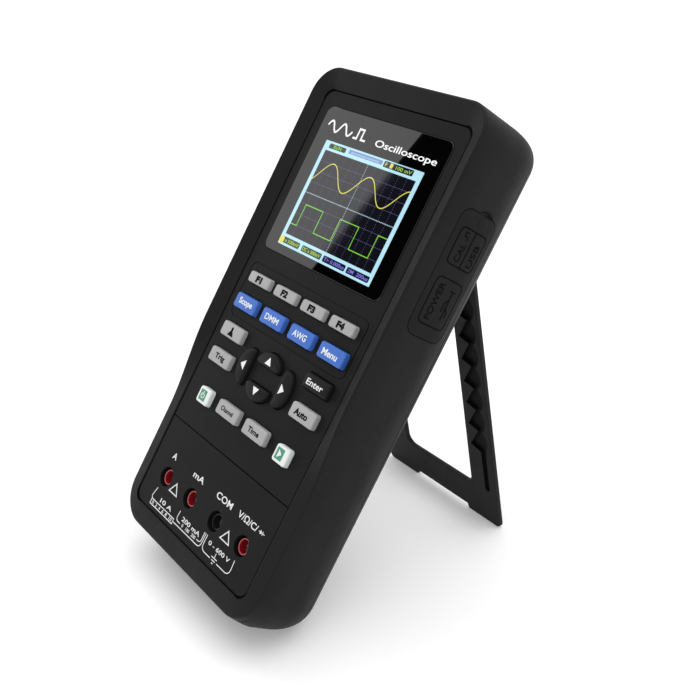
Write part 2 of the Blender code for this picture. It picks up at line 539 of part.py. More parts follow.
stand = loft("kickstand", [stand_pts(0.0, STAND_T0), stand_pts(0.0, STAND_T1 - 0.7), stand_pts(0.7, STAND_T1)], "case", parent=HINGE)
for side, tag in ((-1, "l"), (1, "r")):
    xs = sorted((side * STAND_INN, side * STAND_OUT))
    knuckle = cutter(loft(f"knuckle_{tag}", [[(x, y, z) for y, z in circle(0, 0, 2.5, 16)] for x in xs], parent=HINGE))
    boolean(stand, knuckle, "UNION")
    # toothed pocket in the face towards the case, with a slot below it
    m, tips, pitch = side, 7, 10.62
    inner, outer = [], []
    for k in range(tips + 1):
        tip = 12.2 + pitch * k
        inner += [(29.2, tip - 9.2), (23.7, tip)]
        outer += [(31.6, tip - 9.4), (33.6, tip - 6.8), (33.8, tip - 3.6), (33.2, tip - 0.8)]
    inner += [(29.6, 88.2), (29.9, 107.6), (30.5, 108.4)]
    outer += [(32.6, 88.8), (32.6, 107.6), (32.0, 108.4)]
    shape = [(m * x, s) for x, s in inner] + [(m * x, s) for x, s in reversed(outer)]
    teeth = cutter(loft(f"cut_teeth_{tag}", [[(x, t, -s) for x, s in shape] for t in (STAND_T0 - 2.0, STAND_T0 + 1.5)], parent=HINGE))
    boolean(stand, teeth)
bore = cutter(loft("cut_knuckle_bore", [[(x, y, z) for y, z in circle(0, 0, ROD_R + 0.12, 14)] for x in (-40, 40)], parent=HINGE))
boolean(stand, bore)
loft("stand_rod", [at_x(circle(HINGE_Y, HINGE_Z, ROD_R, 14), x) for x in (-36.4, 36.4)], "steel", origin=(0, HINGE_Y, HINGE_Z))

# ---------------------------------------------------------------- rubber flap over the side sockets, hinged at its lower edge
FLAP_HINGE = bpy.data.objects.new("flap_hinge", None)
bpy.context.scene.collection.objects.link(FLAP_HINGE)
FLAP_HINGE.parent = DEVICE
FLAP_HINGE.location = Vector((WIDTH / 2, (FLAP[0] + FLAP[1]) / 2, FLAP[2])) * MM
fo = (WIDTH / 2, (FLAP[0] + FLAP[1]) / 2, FLAP[2])
flap = loft("port_cover", [at_x(round_rect(*FLAP, 4.3, 4), x) for x in (44.0, 53.0)], "flap", parent=FLAP_HINGE, origin=fo)
flap.location = (0, 0, 0)
skin = cutter(loft("flap_outer_skin", outer_loops([1.45, 4.3, 7.15, DRAFT_END, BACK_START, 20.0, 24.0, SPLIT + 2])))
boolean(flap, skin, "INTERSECT")
core_skin = cutter(loft("flap_inner_skin", outer_loops([0.5, 4.3, 7.15, DRAFT_END, BACK_START, 20.0, 24.0, SPLIT + 3], FLAP_T)))
boolean(flap, core_skin)

# ---------------------------------------------------------------- seat the device on the ground plane, centred
bpy.context.view_layer.update()
graph = bpy.context.evaluated_depsgraph_get()
lo, hi = Vector((1e9,) * 3), Vector((-1e9,) * 3)
for ob in bpy.context.scene.objects:
    if ob.type in ("MESH", "CURVE") and not ob.hide_render:
        ev = ob.evaluated_get(graph)
        me = ev.to_mesh()
        for v in me.vertices:
            p = ev.matrix_world @ v.co
            lo = Vector(map(min, lo, p))
            hi = Vector(map(max, hi, p))
        ev.to_mesh_clear()
DEVICE.location = (-(lo.x + hi.x) / 2, -(lo.y + hi.y) / 2, -lo.z)
bpy.context.view_layer.update()
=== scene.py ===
import bpy
import bmesh
import json
import math
from mathutils import Matrix, Vector


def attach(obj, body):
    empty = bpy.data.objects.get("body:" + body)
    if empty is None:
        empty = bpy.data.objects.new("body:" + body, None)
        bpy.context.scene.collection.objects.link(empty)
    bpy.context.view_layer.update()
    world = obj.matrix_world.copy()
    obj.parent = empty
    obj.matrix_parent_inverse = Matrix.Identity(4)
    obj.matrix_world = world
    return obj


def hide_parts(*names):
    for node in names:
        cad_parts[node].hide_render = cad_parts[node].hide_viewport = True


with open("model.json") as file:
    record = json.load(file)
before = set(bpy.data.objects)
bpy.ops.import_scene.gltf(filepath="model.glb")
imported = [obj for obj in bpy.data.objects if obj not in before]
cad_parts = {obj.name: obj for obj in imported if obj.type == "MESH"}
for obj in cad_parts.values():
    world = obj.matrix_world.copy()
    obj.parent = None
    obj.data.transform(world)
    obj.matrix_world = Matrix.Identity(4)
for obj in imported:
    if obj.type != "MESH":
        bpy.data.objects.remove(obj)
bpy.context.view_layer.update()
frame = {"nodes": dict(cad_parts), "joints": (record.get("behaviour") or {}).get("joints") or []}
NODES = frame["nodes"]
JOINTS = {j["name"]: j for j in frame["joints"]}
MM = 0.001
SC = bpy.context.scene

# ------------------------------------------------------------------ the device's own frame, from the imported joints
# X across, Y into the case, Z along the case, in millimetres; the keys press along +Y and the stand's hinge is a known point.
_ax = Vector(JOINTS["key_f1_press"]["axis"]).normalized()
LEAN = math.atan2(-_ax.z, _ax.y)
HINGE_Y, HINGE_Z = 36.4, 150.8
_R = Matrix.Rotation(-LEAN, 4, "X")
_hp = Vector(JOINTS["kickstand_hinge"]["pos_m"])
DEV = Matrix.Translation(_hp - _R @ Vector((0, HINGE_Y * MM, HINGE_Z * MM))) @ _R
STAND_OPEN = math.radians(44.5)
STAND = DEV @ Matrix.Translation((0, HINGE_Y * MM, HINGE_Z * MM)) @ Matrix.Rotation(STAND_OPEN, 4, "X")

WIDTH, LENGTH, DEPTH = 98.0, 199.0, 40.0
CORNER_R, EDGE_R = 12.5, 1.1
RIM_HIGH, RIM_LOW, RIM_Z0, RIM_Z1 = -2.5, 0.75, 49.0, 90.0
DRAFT_SIDE, DRAFT_TOP, DRAFT_FOOT, DRAFT_END = 1.03, 0.3, 2.5, 10.0
BACK_START, BACK_IN, SPLIT = 17.0, 23.0, 27.0
BACK_TOP, BACK_FOOT, FOOT_R = 0.2, 0.33, 2.5
PANEL = (-41.0, 41.0, 11.0, 190.2)
PANEL_R = 4.6
LENS = (-35.9, 35.9, 124.4, 184.1)


# ------------------------------------------------------------------ materials
def nodes_of(name):
    m = bpy.data.materials.new(name)
    m.use_nodes = True
    nt = m.node_tree
    return m, nt, nt.nodes["Principled BSDF"]


def mix(nt, a, b, fac_socket):
    n = nt.nodes.new("ShaderNodeMix")
    n.data_type = "RGBA"
    n.inputs["A"].default_value = (*a, 1)
    n.inputs["B"].default_value = (*b, 1)
    nt.links.new(fac_socket, n.inputs["Factor"])
    return n.outputs["Result"]


def noise(nt, coord, scale, detail=3.0, rough=0.55):
    n = nt.nodes.new("ShaderNodeTexNoise")
    n.inputs["Scale"].default_value = scale
    n.inputs["Detail"].default_value = detail
    n.inputs["Roughness"].default_value = rough
    nt.links.new(coord, n.inputs["Vector"])
    return n.outputs["Fac"]


def ramp(nt, fac, lo, hi, v0=0.0, v1=1.0):
    n = nt.nodes.new("ShaderNodeMapRange")
    n.inputs["From Min"].default_value = lo
    n.inputs["From Max"].default_value = hi
    n.inputs["To Min"].default_value = v0
    n.inputs["To Max"].default_value = v1
    nt.links.new(fac, n.inputs["Value"])
    return n.outputs["Result"]


def coords(nt):
    return nt.nodes.new("ShaderNodeTexCoord").outputs["Object"]


def bump(nt, s, height, strength, distance):
    b = nt.nodes.new("ShaderNodeBump")
    b.inputs["Strength"].default_value = strength
    b.inputs["Distance"].default_value = distance
    nt.links.new(height, b.inputs["Height"])
    nt.links.new(b.outputs["Normal"], s.inputs["Normal"])


def moulded(name, dark, light, r0, r1, grain=2600, strength=0.25, distance=0.00006, spec=0.35, wear=None, metal=0.0, coat=0.0):
    """Moulded plastic or rubber: two close tones, a fine grain in relief, and patchy roughness from handling."""
    m, nt, s = nodes_of(name)
    c = coords(nt)
    broad = noise(nt, c, 38, 4)
    fine = noise(nt, c, grain, 2)
    smear = noise(nt, c, 130, 5, 0.65)
    col = mix(nt, dark, light, ramp(nt, broad, 0.3, 0.7))
    if wear:
        g = nt.nodes.new("ShaderNodeNewGeometry")
        edge = ramp(nt, g.outputs["Pointiness"], 0.53, 0.62)
        mul = nt.nodes.new("ShaderNodeMath")
        mul.operation = "MULTIPLY"
        nt.links.new(edge, mul.inputs[0])
        nt.links.new(ramp(nt, smear, 0.42, 0.75), mul.inputs[1])
        n = nt.nodes.new("ShaderNodeMix")
        n.data_type = "RGBA"
        nt.links.new(mul.outputs[0], n.inputs["Factor"])
        nt.links.new(col, n.inputs["A"])
        n.inputs["B"].default_value = (*wear, 1)
        col = n.outputs["Result"]
    nt.links.new(col, s.inputs["Base Color"])
    nt.links.new(ramp(nt, smear, 0.25, 0.8, r0, r1), s.inputs["Roughness"])
    s.inputs["Specular IOR Level"].default_value = spec
    s.inputs["Metallic"].default_value = metal
    s.inputs["Coat Weight"].default_value = coat
    bump(nt, s, fine, strength, distance)
    return m


def metal(name, a, b, r0, r1, scratch=900, strength=0.08):
    m, nt, s = nodes_of(name)
    c = coords(nt)
    mp = nt.nodes.new("ShaderNodeMapping")
    mp.inputs["Scale"].default_value = (1.0, 1.0, 14.0)
    nt.links.new(c, mp.inputs["Vector"])
    broad = noise(nt, c, 160, 3)
    lines = noise(nt, mp.outputs["Vector"], scratch, 2)
    nt.links.new(mix(nt, a, b, ramp(nt, broad, 0.3, 0.7)), s.inputs["Base Color"])
    nt.links.new(ramp(nt, lines, 0.3, 0.7, r0, r1), s.inputs["Roughness"])
    s.inputs["Metallic"].default_value = 1.0
    bump(nt, s, lines, strength, 0.00003)
    return m


def ink(name, a, b, emit=0.0, rough=0.45, spec=0.35):
    """Printed or lit colour, with a slight unevenness in the print."""
    m, nt, s = nodes_of(name)
    c = coords(nt)
    n = noise(nt, c, 700, 3)
    col = mix(nt, a, b, ramp(nt, n, 0.35, 0.65))
    nt.links.new(col, s.inputs["Base Color"])
    s.inputs["Roughness"].default_value = rough
    s.inputs["Specular IOR Level"].default_value = spec
    if emit:
        nt.links.new(col, s.inputs["Emission Color"])
        s.inputs["Emission Strength"].default_value = emit
    bump(nt, s, n, 0.08, 0.00002)
    return m


def screen(name, a, b, emit, base=(0.004, 0.004, 0.005)):
    """A lit area seen through the glossy window: dark glossy face, coloured glow."""
    m, nt, s = nodes_of(name)
    c = coords(nt)
    n = noise(nt, c, 260, 2)
    col = mix(nt, a, b, ramp(nt, n, 0.3, 0.7))
    nt.links.new(col, s.inputs["Emission Color"])
    s.inputs["Emission Strength"].default_value = emit
    s.inputs["Base Color"].default_value = (*base, 1)
    s.inputs["Roughness"].default_value = 0.045
    s.inputs["IOR"].default_value = 1.5
    return m


MAT = {
    "case": moulded("mat_case", (0.0076, 0.0076, 0.0079), (0.0098, 0.0098, 0.0101), 0.48, 0.60, 3000, 0.30, 0.00007, 0.12, wear=(0.015, 0.015, 0.0155)),
    "panel": moulded("mat_panel", (0.0066, 0.0066, 0.0069), (0.0080, 0.0080, 0.0083), 0.46, 0.56, 4200, 0.22, 0.00005, 0.10),
    # painted shade: a near-black moulded material put on the groove faces and the plates' cut edges, standing in for
    # the shade there
    "painted_shade_gap": moulded("mat_painted_shade_gap", (0.0008, 0.0008, 0.0010), (0.0015, 0.0015, 0.0018), 0.6, 0.75, 3600, 0.2, 0.00005, 0.03),
    # painted shade: a darker copy of the case plastic for the cut faces of the stand's tooth pockets and bore, standing
    # in for the shade inside them
    "pocket": moulded("mat_stand_pocket_painted_shade", (0.0050, 0.0050, 0.0052), (0.0065, 0.0065, 0.0068), 0.55, 0.7, 3000, 0.3, 0.00007, 0.09),
    "key_grey": moulded("mat_key_grey", (0.330, 0.330, 0.332), (0.375, 0.375, 0.377), 0.42, 0.55, 3200, 0.18, 0.00005, 0.35),
    "key_blue": moulded("mat_key_blue", (0.038, 0.125, 0.470), (0.050, 0.150, 0.530), 0.40, 0.52, 3200, 0.18, 0.00005, 0.35),
    "key_black": moulded("mat_key_black", (0.0068, 0.0068, 0.0070), (0.0088, 0.0088, 0.0090), 0.46, 0.58, 3200, 0.18, 0.00005, 0.12),
    "key_white": moulded("mat_key_white", (0.70, 0.74, 0.72), (0.78, 0.80, 0.78), 0.36, 0.5, 3200, 0.15, 0.00005, 0.4),
    "flap": moulded("mat_flap", (0.0078, 0.0078, 0.0081), (0.0098, 0.0098, 0.0101), 0.56, 0.68, 2600, 0.35, 0.00008, 0.10),
    "red": moulded("mat_socket_red", (0.200, 0.004, 0.007), (0.250, 0.006, 0.009), 0.22, 0.34, 2000, 0.1, 0.00003, 0.5),
    # painted highlight: a light pink copy of the socket red for the sleeves' front lip, standing in for the highlight
    # on the rim
    "red_painted_highlight": moulded("mat_socket_painted_highlight", (0.420, 0.085, 0.095), (0.490, 0.110, 0.120), 0.28, 0.4, 2000, 0.1, 0.00003, 0.5),
    "black": moulded("mat_insulator", (0.0055, 0.0055, 0.006), (0.008, 0.008, 0.0085), 0.25, 0.4, 2000, 0.1, 0.00003, 0.4),
    "silicone": moulded("mat_silicone", (0.20, 0.20, 0.21), (0.26, 0.26, 0.27), 0.6, 0.75, 1500, 0.3, 0.00008, 0.3),
    "pcb": moulded("mat_pcb", (0.006, 0.060, 0.018), (0.012, 0.095, 0.030), 0.3, 0.45, 900, 0.2, 0.00006, 0.5, coat=0.3),
    "ptfe": moulded("mat_ptfe", (0.66, 0.66, 0.62), (0.76, 0.76, 0.72), 0.35, 0.5, 2000, 0.1, 0.00003, 0.4),
    "cell": moulded("mat_cell", (0.012, 0.080, 0.20), (0.022, 0.12, 0.28), 0.25, 0.4, 900, 0.12, 0.00004, 0.5),
    "glass": moulded("mat_fuse", (0.45, 0.50, 0.50), (0.60, 0.65, 0.65), 0.08, 0.18, 900, 0.05, 0.00002, 0.6),
    "nickel": metal("mat_nickel", (0.60, 0.58, 0.54), (0.70, 0.68, 0.64), 0.16, 0.30),
    "steel": metal("mat_steel", (0.26, 0.26, 0.27), (0.36, 0.36, 0.37), 0.28, 0.42),
    "white_ink": ink("mat_white_ink", (0.72, 0.72, 0.72), (0.82, 0.82, 0.82)),
    "black_ink": ink("mat_black_ink", (0.002, 0.002, 0.002), (0.004, 0.004, 0.004), 0.0, 0.6, 0.04),
    "green_ink": ink("mat_green_ink", (0.060, 0.240, 0.155), (0.075, 0.280, 0.180)),
    # painted glow: the window's white print also emits light of its own colour (strength 0.12), though it is no lamp
    "logo_ink": ink("mat_logo_print_glow", (0.80, 0.80, 0.80), (0.90, 0.90, 0.90), 0.12, 0.2),
    "relief": moulded("mat_relief", (0.0012, 0.0012, 0.0014), (0.0020, 0.0020, 0.0022), 0.6, 0.75, 2600, 0.3, 0.00006, 0.04),
    "scr_border": screen("mat_screen_border", (0.46, 0.80, 0.93), (0.54, 0.86, 0.97), 0.92, (0.03, 0.04, 0.05)),
    "scr_black": screen("mat_screen_black", (0.0008, 0.0008, 0.0032), (0.0018, 0.0018, 0.0060), 1.0),
    "scr_grid": screen("mat_screen_grid", (0.085, 0.085, 0.22), (0.12, 0.12, 0.28), 0.9),
    "scr_axis": screen("mat_screen_axis", (0.40, 0.52, 0.58), (0.50, 0.62, 0.68), 0.9),
    "scr_yellow": screen("mat_screen_yellow", (0.72, 0.68, 0.075), (0.85, 0.80, 0.12), 1.0),
    "scr_green": screen("mat_screen_green", (0.19, 0.62, 0.03), (0.26, 0.75, 0.05), 1.0),
    "scr_dkgreen": screen("mat_screen_darkgreen", (0.008, 0.022, 0.006), (0.014, 0.034, 0.010), 1.0),
    "scr_navy": screen("mat_screen_navy", (0.003, 0.003, 0.028), (0.006, 0.006, 0.045), 1.0),
    "scr_violet": screen("mat_screen_violet", (0.20, 0.18, 0.72), (0.28, 0.26, 0.85), 0.9),
    "scr_lime": screen("mat_screen_lime", (0.36, 0.62, 0.03), (0.48, 0.75, 0.05), 0.95),
    "scr_bar": screen("mat_screen_bar", (0.16, 0.28, 0.58), (0.22, 0.36, 0.68), 0.9),
    "scr_bar2": screen("mat_screen_bar2", (0.32, 0.50, 0.78), (0.40, 0.58, 0.85), 0.9),
}


def lens_material():
    m, nt, s = nodes_of("mat_lens")
    c = coords(nt)
    n = noise(nt, c, 90, 5, 0.7)
    nt.links.new(mix(nt, (0.0007, 0.0007, 0.0009), (0.0012, 0.0012, 0.0014), n), s.inputs["Base Color"])
    nt.links.new(ramp(nt, n, 0.3, 0.8, 0.012, 0.026), s.inputs["Roughness"])
    s.inputs["IOR"].default_value = 1.5
    return m


MAT["lens"] = lens_material()
MAT["lcd"] = moulded("mat_lcd_glass", (0.02, 0.03, 0.04), (0.035, 0.045, 0.055), 0.12, 0.2, 900, 0.04, 0.00002, 0.5)


# ------------------------------------------------------------------ mesh helpers (device millimetres in, metres in the row frame out)
def round_rect(x0, x1, z0, z1, r, n):
    pts = []
    for cx, cz, st in ((x1 - r, z1 - r, 0), (x0 + r, z1 - r, 90), (x0 + r, z0 + r, 180), (x1 - r, z0 + r, 270)):
        for i in range(n + 1):
            a = math.radians(st + 90.0 * i / n)
            pts.append((cx + r * math.cos(a), cz + r * math.sin(a)))
    return pts


def circle(cx, cz, r, n):
    return [(cx + r * math.cos(2 * math.pi * i / n), cz + r * math.sin(2 * math.pi * i / n)) for i in range(n)]


def at_y(pts, y):
    return [(p[0], y, p[1]) for p in pts]


def at_z(pts, z):
    return [(p[0], p[1], z) for p in pts]


def at_x(pts, x):
    return [(x, p[0], p[1]) for p in pts]


def finish_mesh(name, bm, mats, body=None, space=None, smooth=35, recalc=True):
    if recalc:
        bmesh.ops.recalc_face_normals(bm, faces=bm.faces)
    me = bpy.data.meshes.new(name)
    bm.to_mesh(me)
    bm.free()
    me.transform(Matrix.Scale(MM, 4))
    me.transform(space if space is not None else DEV)
    me.shade_smooth()
    if smooth:
        me.set_sharp_from_angle(angle=math.radians(smooth))
    ob = bpy.data.objects.new(name, me)
    SC.collection.objects.link(ob)
    for m in (mats if isinstance(mats, (list, tuple)) else [mats]):
        if m:
            me.materials.append(MAT[m])
    if body:
        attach(ob, body)
    return ob


def loft(name, loops, mat=None, body=None, ring=False, smooth=35, space=None):
    bm = bmesh.new()
    rows = [[bm.verts.new(p) for p in lp] for lp in loops]
    n = len(rows[0])
    for a, b in list(zip(rows, rows[1:])) + ([(rows[-1], rows[0])] if ring else []):
        for i in range(n):
            bm.faces.new((a[i], a[(i + 1) % n], b[(i + 1) % n], b[i]))
    if not ring:
        bm.faces.new(rows[0])
        bm.faces.new(rows[-1])
    return finish_mesh(name, bm, mat, body, space, smooth)


def apply_mods(ob):
    dg = bpy.context.evaluated_depsgraph_get()
    dg.update()
    me = bpy.data.meshes.new_from_object(ob.evaluated_get(dg))
    old = ob.data
    ob.modifiers.clear()
    ob.data = me
    bpy.data.meshes.remove(old)
    return ob


def cut(ob, other, op="DIFFERENCE", keep=False):
    mod = ob.modifiers.new("b", "BOOLEAN")
    mod.operation = op
    mod.solver = "EXACT"
    mod.object = other
    bpy.context.view_layer.update()
    apply_mods(ob)
    if not keep:
        bpy.data.objects.remove(other, do_unlink=True)
    return ob


def bevel(ob, width, segs=2, angle=40):
    mod = ob.modifiers.new("bev", "BEVEL")
    mod.width = width * MM
    mod.segments = segs
    mod.limit_method = "ANGLE"
    mod.angle_limit = math.radians(angle)
    mod.use_clamp_overlap = True
    mod.harden_normals = False
    apply_mods(ob)
    ob.data.shade_smooth()
    ob.data.set_sharp_from_angle(angle=math.radians(40))
    return ob


def weighted(ob):
    mod = ob.modifiers.new("wn", "WEIGHTED_NORMAL")
    mod.keep_sharp = True
    return ob


def fill_plate(name, outer, holes, y0, y1, mat, body=None):
    """A flat plate with holes, filled as a 2D curve."""
    cu = bpy.data.curves.new(name, "CURVE")
    cu.dimensions = "2D"
    cu.fill_mode = "BOTH"
    cu.extrude = abs(y1 - y0) / 2
    for lp in [outer] + list(holes):
        sp = cu.splines.new("POLY")
        sp.points.add(len(lp) - 1)
        for i, p in enumerate(lp):
            sp.points[i].co = (p[0], p[1], 0, 1)
        sp.use_cyclic_u = True
    tmp = bpy.data.objects.new("tmp", cu)
    SC.collection.objects.link(tmp)
    bpy.context.view_layer.update()
    me = bpy.data.meshes.new_from_object(tmp.evaluated_get(bpy.context.evaluated_depsgraph_get()))
    bpy.data.objects.remove(tmp, do_unlink=True)
    me.transform(Matrix.Translation((0, (y0 + y1) / 2, 0)) @ Matrix.Rotation(math.radians(90), 4, "X"))
    bm = bmesh.new()
    bm.from_mesh(me)
    bmesh.ops.remove_doubles(bm, verts=bm.verts, dist=0.001)
    bpy.data.meshes.remove(me)
    return finish_mesh(name, bm, mat, body)


def slab(name, polys, y, thick, mat, body, space=None):
    """Thin raised shapes: each polygon (x, z) becomes a closed prism from y (front) back by thick."""
    bm = bmesh.new()
    for pts in polys:
        a = [bm.verts.new((p[0], y, p[1])) for p in pts]
        b = [bm.verts.new((p[0], y + thick, p[1])) for p in pts]
        n = len(pts)
        bm.faces.new(a)
        bm.faces.new(b)
        for i in range(n):
            bm.faces.new((a[i], a[(i + 1) % n], b[(i + 1) % n], b[i]))
    return finish_mesh(name, bm, mat, body, space, 35)


def stroke(points, w):
    """Quads along a polyline, w wide, mitred."""
    out = []
    n = len(points)
    left, right = [], []
    for i, p in enumerate(points):
        p = Vector(p)
        d0 = (p - Vector(points[i - 1])).normalized() if i else None
        d1 = (Vector(points[i + 1]) - p).normalized() if i < n - 1 else None
        d = ((d0 or d1) + (d1 or d0)).normalized()
        nrm = Vector((-d.y, d.x))
        ref = d0 or d1
        k = 1.0 / max(0.35, abs(nrm.dot(Vector((-ref.y, ref.x)))))
        left.append(p + nrm * w / 2 * k)
        right.append(p - nrm * w / 2 * k)
    for i in range(n - 1):
        out.append([tuple(left[i]), tuple(left[i + 1]), tuple(right[i + 1]), tuple(right[i])])
    return out


_cap = {}


def text_mesh(s, weight=0.0):
    cu = bpy.data.curves.new("t", "FONT")
    cu.body = s
    cu.size = 1.0
    cu.extrude = 0.5
    cu.offset = weight
    cu.resolution_u = 4
    ob = bpy.data.objects.new("t", cu)
    SC.collection.objects.link(ob)
    bpy.context.view_layer.update()
    me = bpy.data.meshes.new_from_object(ob.evaluated_get(bpy.context.evaluated_depsgraph_get()))
    bpy.data.objects.remove(ob, do_unlink=True)
    return me


def cap_height():
    if "h" not in _cap:
        me = text_mesh("H")
        _cap["h"] = max(v.co.y for v in me.vertices)
        bpy.data.meshes.remove(me)
    return _cap["h"]


def label(name, s, x0, x1, z, cap, y, mat, body, weight=0.012, side=False, thick=0.06, warp=None, space=None):
    """Generic legend: from x0 to x1, baseline z, capital height cap, on the face at depth y (or on the right side when side)."""
    me = text_mesh(s, weight)
    xs = [v.co.x for v in me.vertices]
    sx = (x1 - x0) / (max(xs) - min(xs))
    sy = cap / cap_height()
    xm = min(xs)
    for v in me.vertices:
        a = x0 + (v.co.x - xm) * sx
        b = z + v.co.y * sy
        c = v.co.z * thick
        if side:
            # reads upwards: along +Z, letter tops towards the front; here x0..x1 run along Z and z is the depth of the baseline
            yy = z - v.co.y * sy
            v.co = Vector((warp(yy) + c, yy, a))
        else:
            v.co = Vector((a, y - c, b))
    bm = bmesh.new()
    bm.from_mesh(me)
    bpy.data.meshes.remove(me)
    return finish_mesh(name, bm, mat, body, space, 35, recalc=False)


def inset_at(y):
    if y < DRAFT_END:
        return DRAFT_SIDE * (1 - (y - RIM_HIGH - EDGE_R) / (DRAFT_END - RIM_HIGH - EDGE_R)) ** 2
    if y <= BACK_START:
        return 0.0
    return BACK_IN * (1 - math.sqrt(max(0.0, 1 - ((y - BACK_START) / (DEPTH - BACK_START)) ** 2)))


def back_inset(y):
    return inset_at(y) if y > BACK_START else 0.0


def rim_y(z):
    t = min(1.0, max(0.0, (z - RIM_Z0) / (RIM_Z1 - RIM_Z0)))
    return RIM_LOW + (RIM_HIGH - RIM_LOW) * t * t * (3 - 2 * t)


SIDE_Z = [44.0 + 2.4 * i for i in range(21)]


def outline(x0, x1, z0, z1, r, r_foot, n=16, sides=False):
    pts = []
    for cx, cz, st, rr in ((x1 - r, z1 - r, 0, r), (x0 + r, z1 - r, 90, r), (x0 + r_foot, z0 + r_foot, 180, r_foot), (x1 - r_foot, z0 + r_foot, 270, r_foot)):
        if sides and st == 180:
            pts += [(x0, z) for z in reversed(SIDE_Z)]
        for i in range(n + 1):
            a = math.radians(st + 90.0 * i / n)
            pts.append((cx + rr * math.cos(a), cz + rr * math.sin(a)))
    if sides:
        pts += [(x1, z) for z in SIDE_Z]
    return pts


def case_loop(y, d, r, n=16, top=None, foot=None, r_foot=None, sides=False):
    return at_y(outline(-WIDTH / 2 + d, WIDTH / 2 - d, d if foot is None else foot, LENGTH - (d if top is None else top), r, r if r_foot is None else r_foot, n, sides), y)


def rear_r(d):
    return CORNER_R - 0.45 * d


def rim_loop(d, top, foot, r, lift, blend=0.0):
    """Loop that follows the rim's crest; blend runs from the crest to the end of the draft."""
    pts = outline(-WIDTH / 2 + d, WIDTH / 2 - d, foot, LENGTH - top, r, r + FOOT_R, 16, True)
    return [(x, (rim_y(z) + lift) * (1 - blend) + DRAFT_END * blend, z) for x, z in pts]


def outer_loops(depths, extra=0.0, n=16, sides=False):
    out = []
    for y in depths:
        d = inset_at(y)
        r = (rear_r(d) if y > BACK_START else CORNER_R - d) - extra
        out.append(case_loop(y, d + extra, r, n, DRAFT_TOP + BACK_TOP * back_inset(y) + extra, DRAFT_FOOT / 8 + BACK_FOOT * back_inset(y) + extra, r + FOOT_R, sides))
    return out


def panel_loop(y, g, n=16):
    return at_y(outline(PANEL[0] - g, PANEL[1] + g, PANEL[2] - g, PANEL[3] + g, PANEL_R + g, PANEL_R + g, n, True), y)


def arc_depths(a0, a1, steps):
    """Depths along the curved back, evenly spaced in angle."""
    return [BACK_START + (DEPTH - BACK_START) * math.sin(math.radians(a0 + (a1 - a0) * i / steps)) for i in range(steps + 1)]


A_SPLIT = math.degrees(math.asin((SPLIT - BACK_START) / (DEPTH - BACK_START)))
A_REAR = math.degrees(math.asin((SPLIT + 0.3 - BACK_START) / (DEPTH - BACK_START)))
WALL = 2.3

# ------------------------------------------------------------------ front shell
FLAP = (4.3, 23.4, 120.3, 166.3)
loops = [panel_loop(3.0, 0.0), panel_loop(0.62, 0.0), panel_loop(0.40, 0.06), panel_loop(0.20, 0.2), panel_loop(0.06, 0.42), panel_loop(-0.02, 0.75)]
for k in range(7):
    a = math.radians(15.0 * k)
    e = EDGE_R * (1 - math.sin(a))
    loops.append(rim_loop(DRAFT_SIDE + e, DRAFT_TOP + e, DRAFT_FOOT + e, CORNER_R - DRAFT_SIDE - e, EDGE_R * (1 - math.cos(a))))
for k in range(1, 9):
    k /= 8
    loops.append(rim_loop(DRAFT_SIDE * (1 - k) ** 2, DRAFT_TOP, DRAFT_FOOT * (1 - 0.75 * k) ** 1.5, CORNER_R - DRAFT_SIDE * (1 - k) ** 2, EDGE_R, k))
loops += outer_loops([13.5] + arc_depths(0, A_SPLIT, 8)[:-1], sides=True)
dS = inset_at(SPLIT)
oS, oR = outer_loops([SPLIT - 0.18], sides=True), outer_loops([SPLIT], 0.12, sides=True)
loops += oS + oR
loops += [case_loop(SPLIT, dS + WALL, rear_r(dS) - WALL, sides=True), case_loop(22.0, inset_at(22.0) + WALL, rear_r(inset_at(22.0)) - WALL, sides=True),
          case_loop(BACK_START, WALL, CORNER_R - WALL, sides=True), case_loop(4.2, WALL, CORNER_R - WALL, sides=True), panel_loop(4.2, 0.0)]
shell = loft("front_shell", loops, ["case", "painted_shade_gap"], ring=True, smooth=50)
# painted shade: the groove faces between the panel and the rim take the near-black slot-1 material
for p in shell.data.polygons:
    q = DEV.inverted() @ p.center / MM
    if q.y > -0.1 and q.y < 4.3 and abs(q.x) < PANEL[1] + 0.30 and PANEL[2] - 0.30 < q.z < PANEL[3] + 0.30:
        p.material_index = 1


def flap_outline(g, n=8):
    """Rounded outline with four equal corners, in (depth, height)."""
    y0, y1, z0, z1 = FLAP[0] - g, FLAP[1] + g, FLAP[2] - g, FLAP[3] + g
    return round_rect(y0, y1, z0, z1, 4.3 + g, n)


DRAFT_Y = [1.0, 2.65, 4.3, 5.7, 7.15, 8.6, DRAFT_END, 13.5]
pocket = loft("c1", [at_x(flap_outline(0.28), x) for x in (44.0, 53.0)])
skin_in = loft("c2", outer_loops(DRAFT_Y + arc_depths(0, A_SPLIT, 8), 1.75))
cut(pocket, skin_in)
cut(shell, pocket)
notch = loft("c3", [at_x(circle(15.5, 163.9, r, 48), x) for r, x in ((3.6, 47.9), (4.9, 49.2), (4.9, 52.0))])
cut(shell, notch)
for i, (z0, z1) in enumerate(((126.6, 139.4), (147.0, 160.6))):
    cut(shell, loft("c4", [at_x(round_rect(9.4, 16.4, z0, z1, 1.2, 5), x) for x in (44.5, 48.5)]))
mouth = round_rect(-36.5, 36.5, 5.0, 26.0, 5.0, 10)
cut(shell, loft("c5", [at_z(mouth, z) for z in (190.0, 203.0)]))
bevel(shell, 0.28, 2, 50)
weighted(shell)
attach(shell, "case")
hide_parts("front_case")

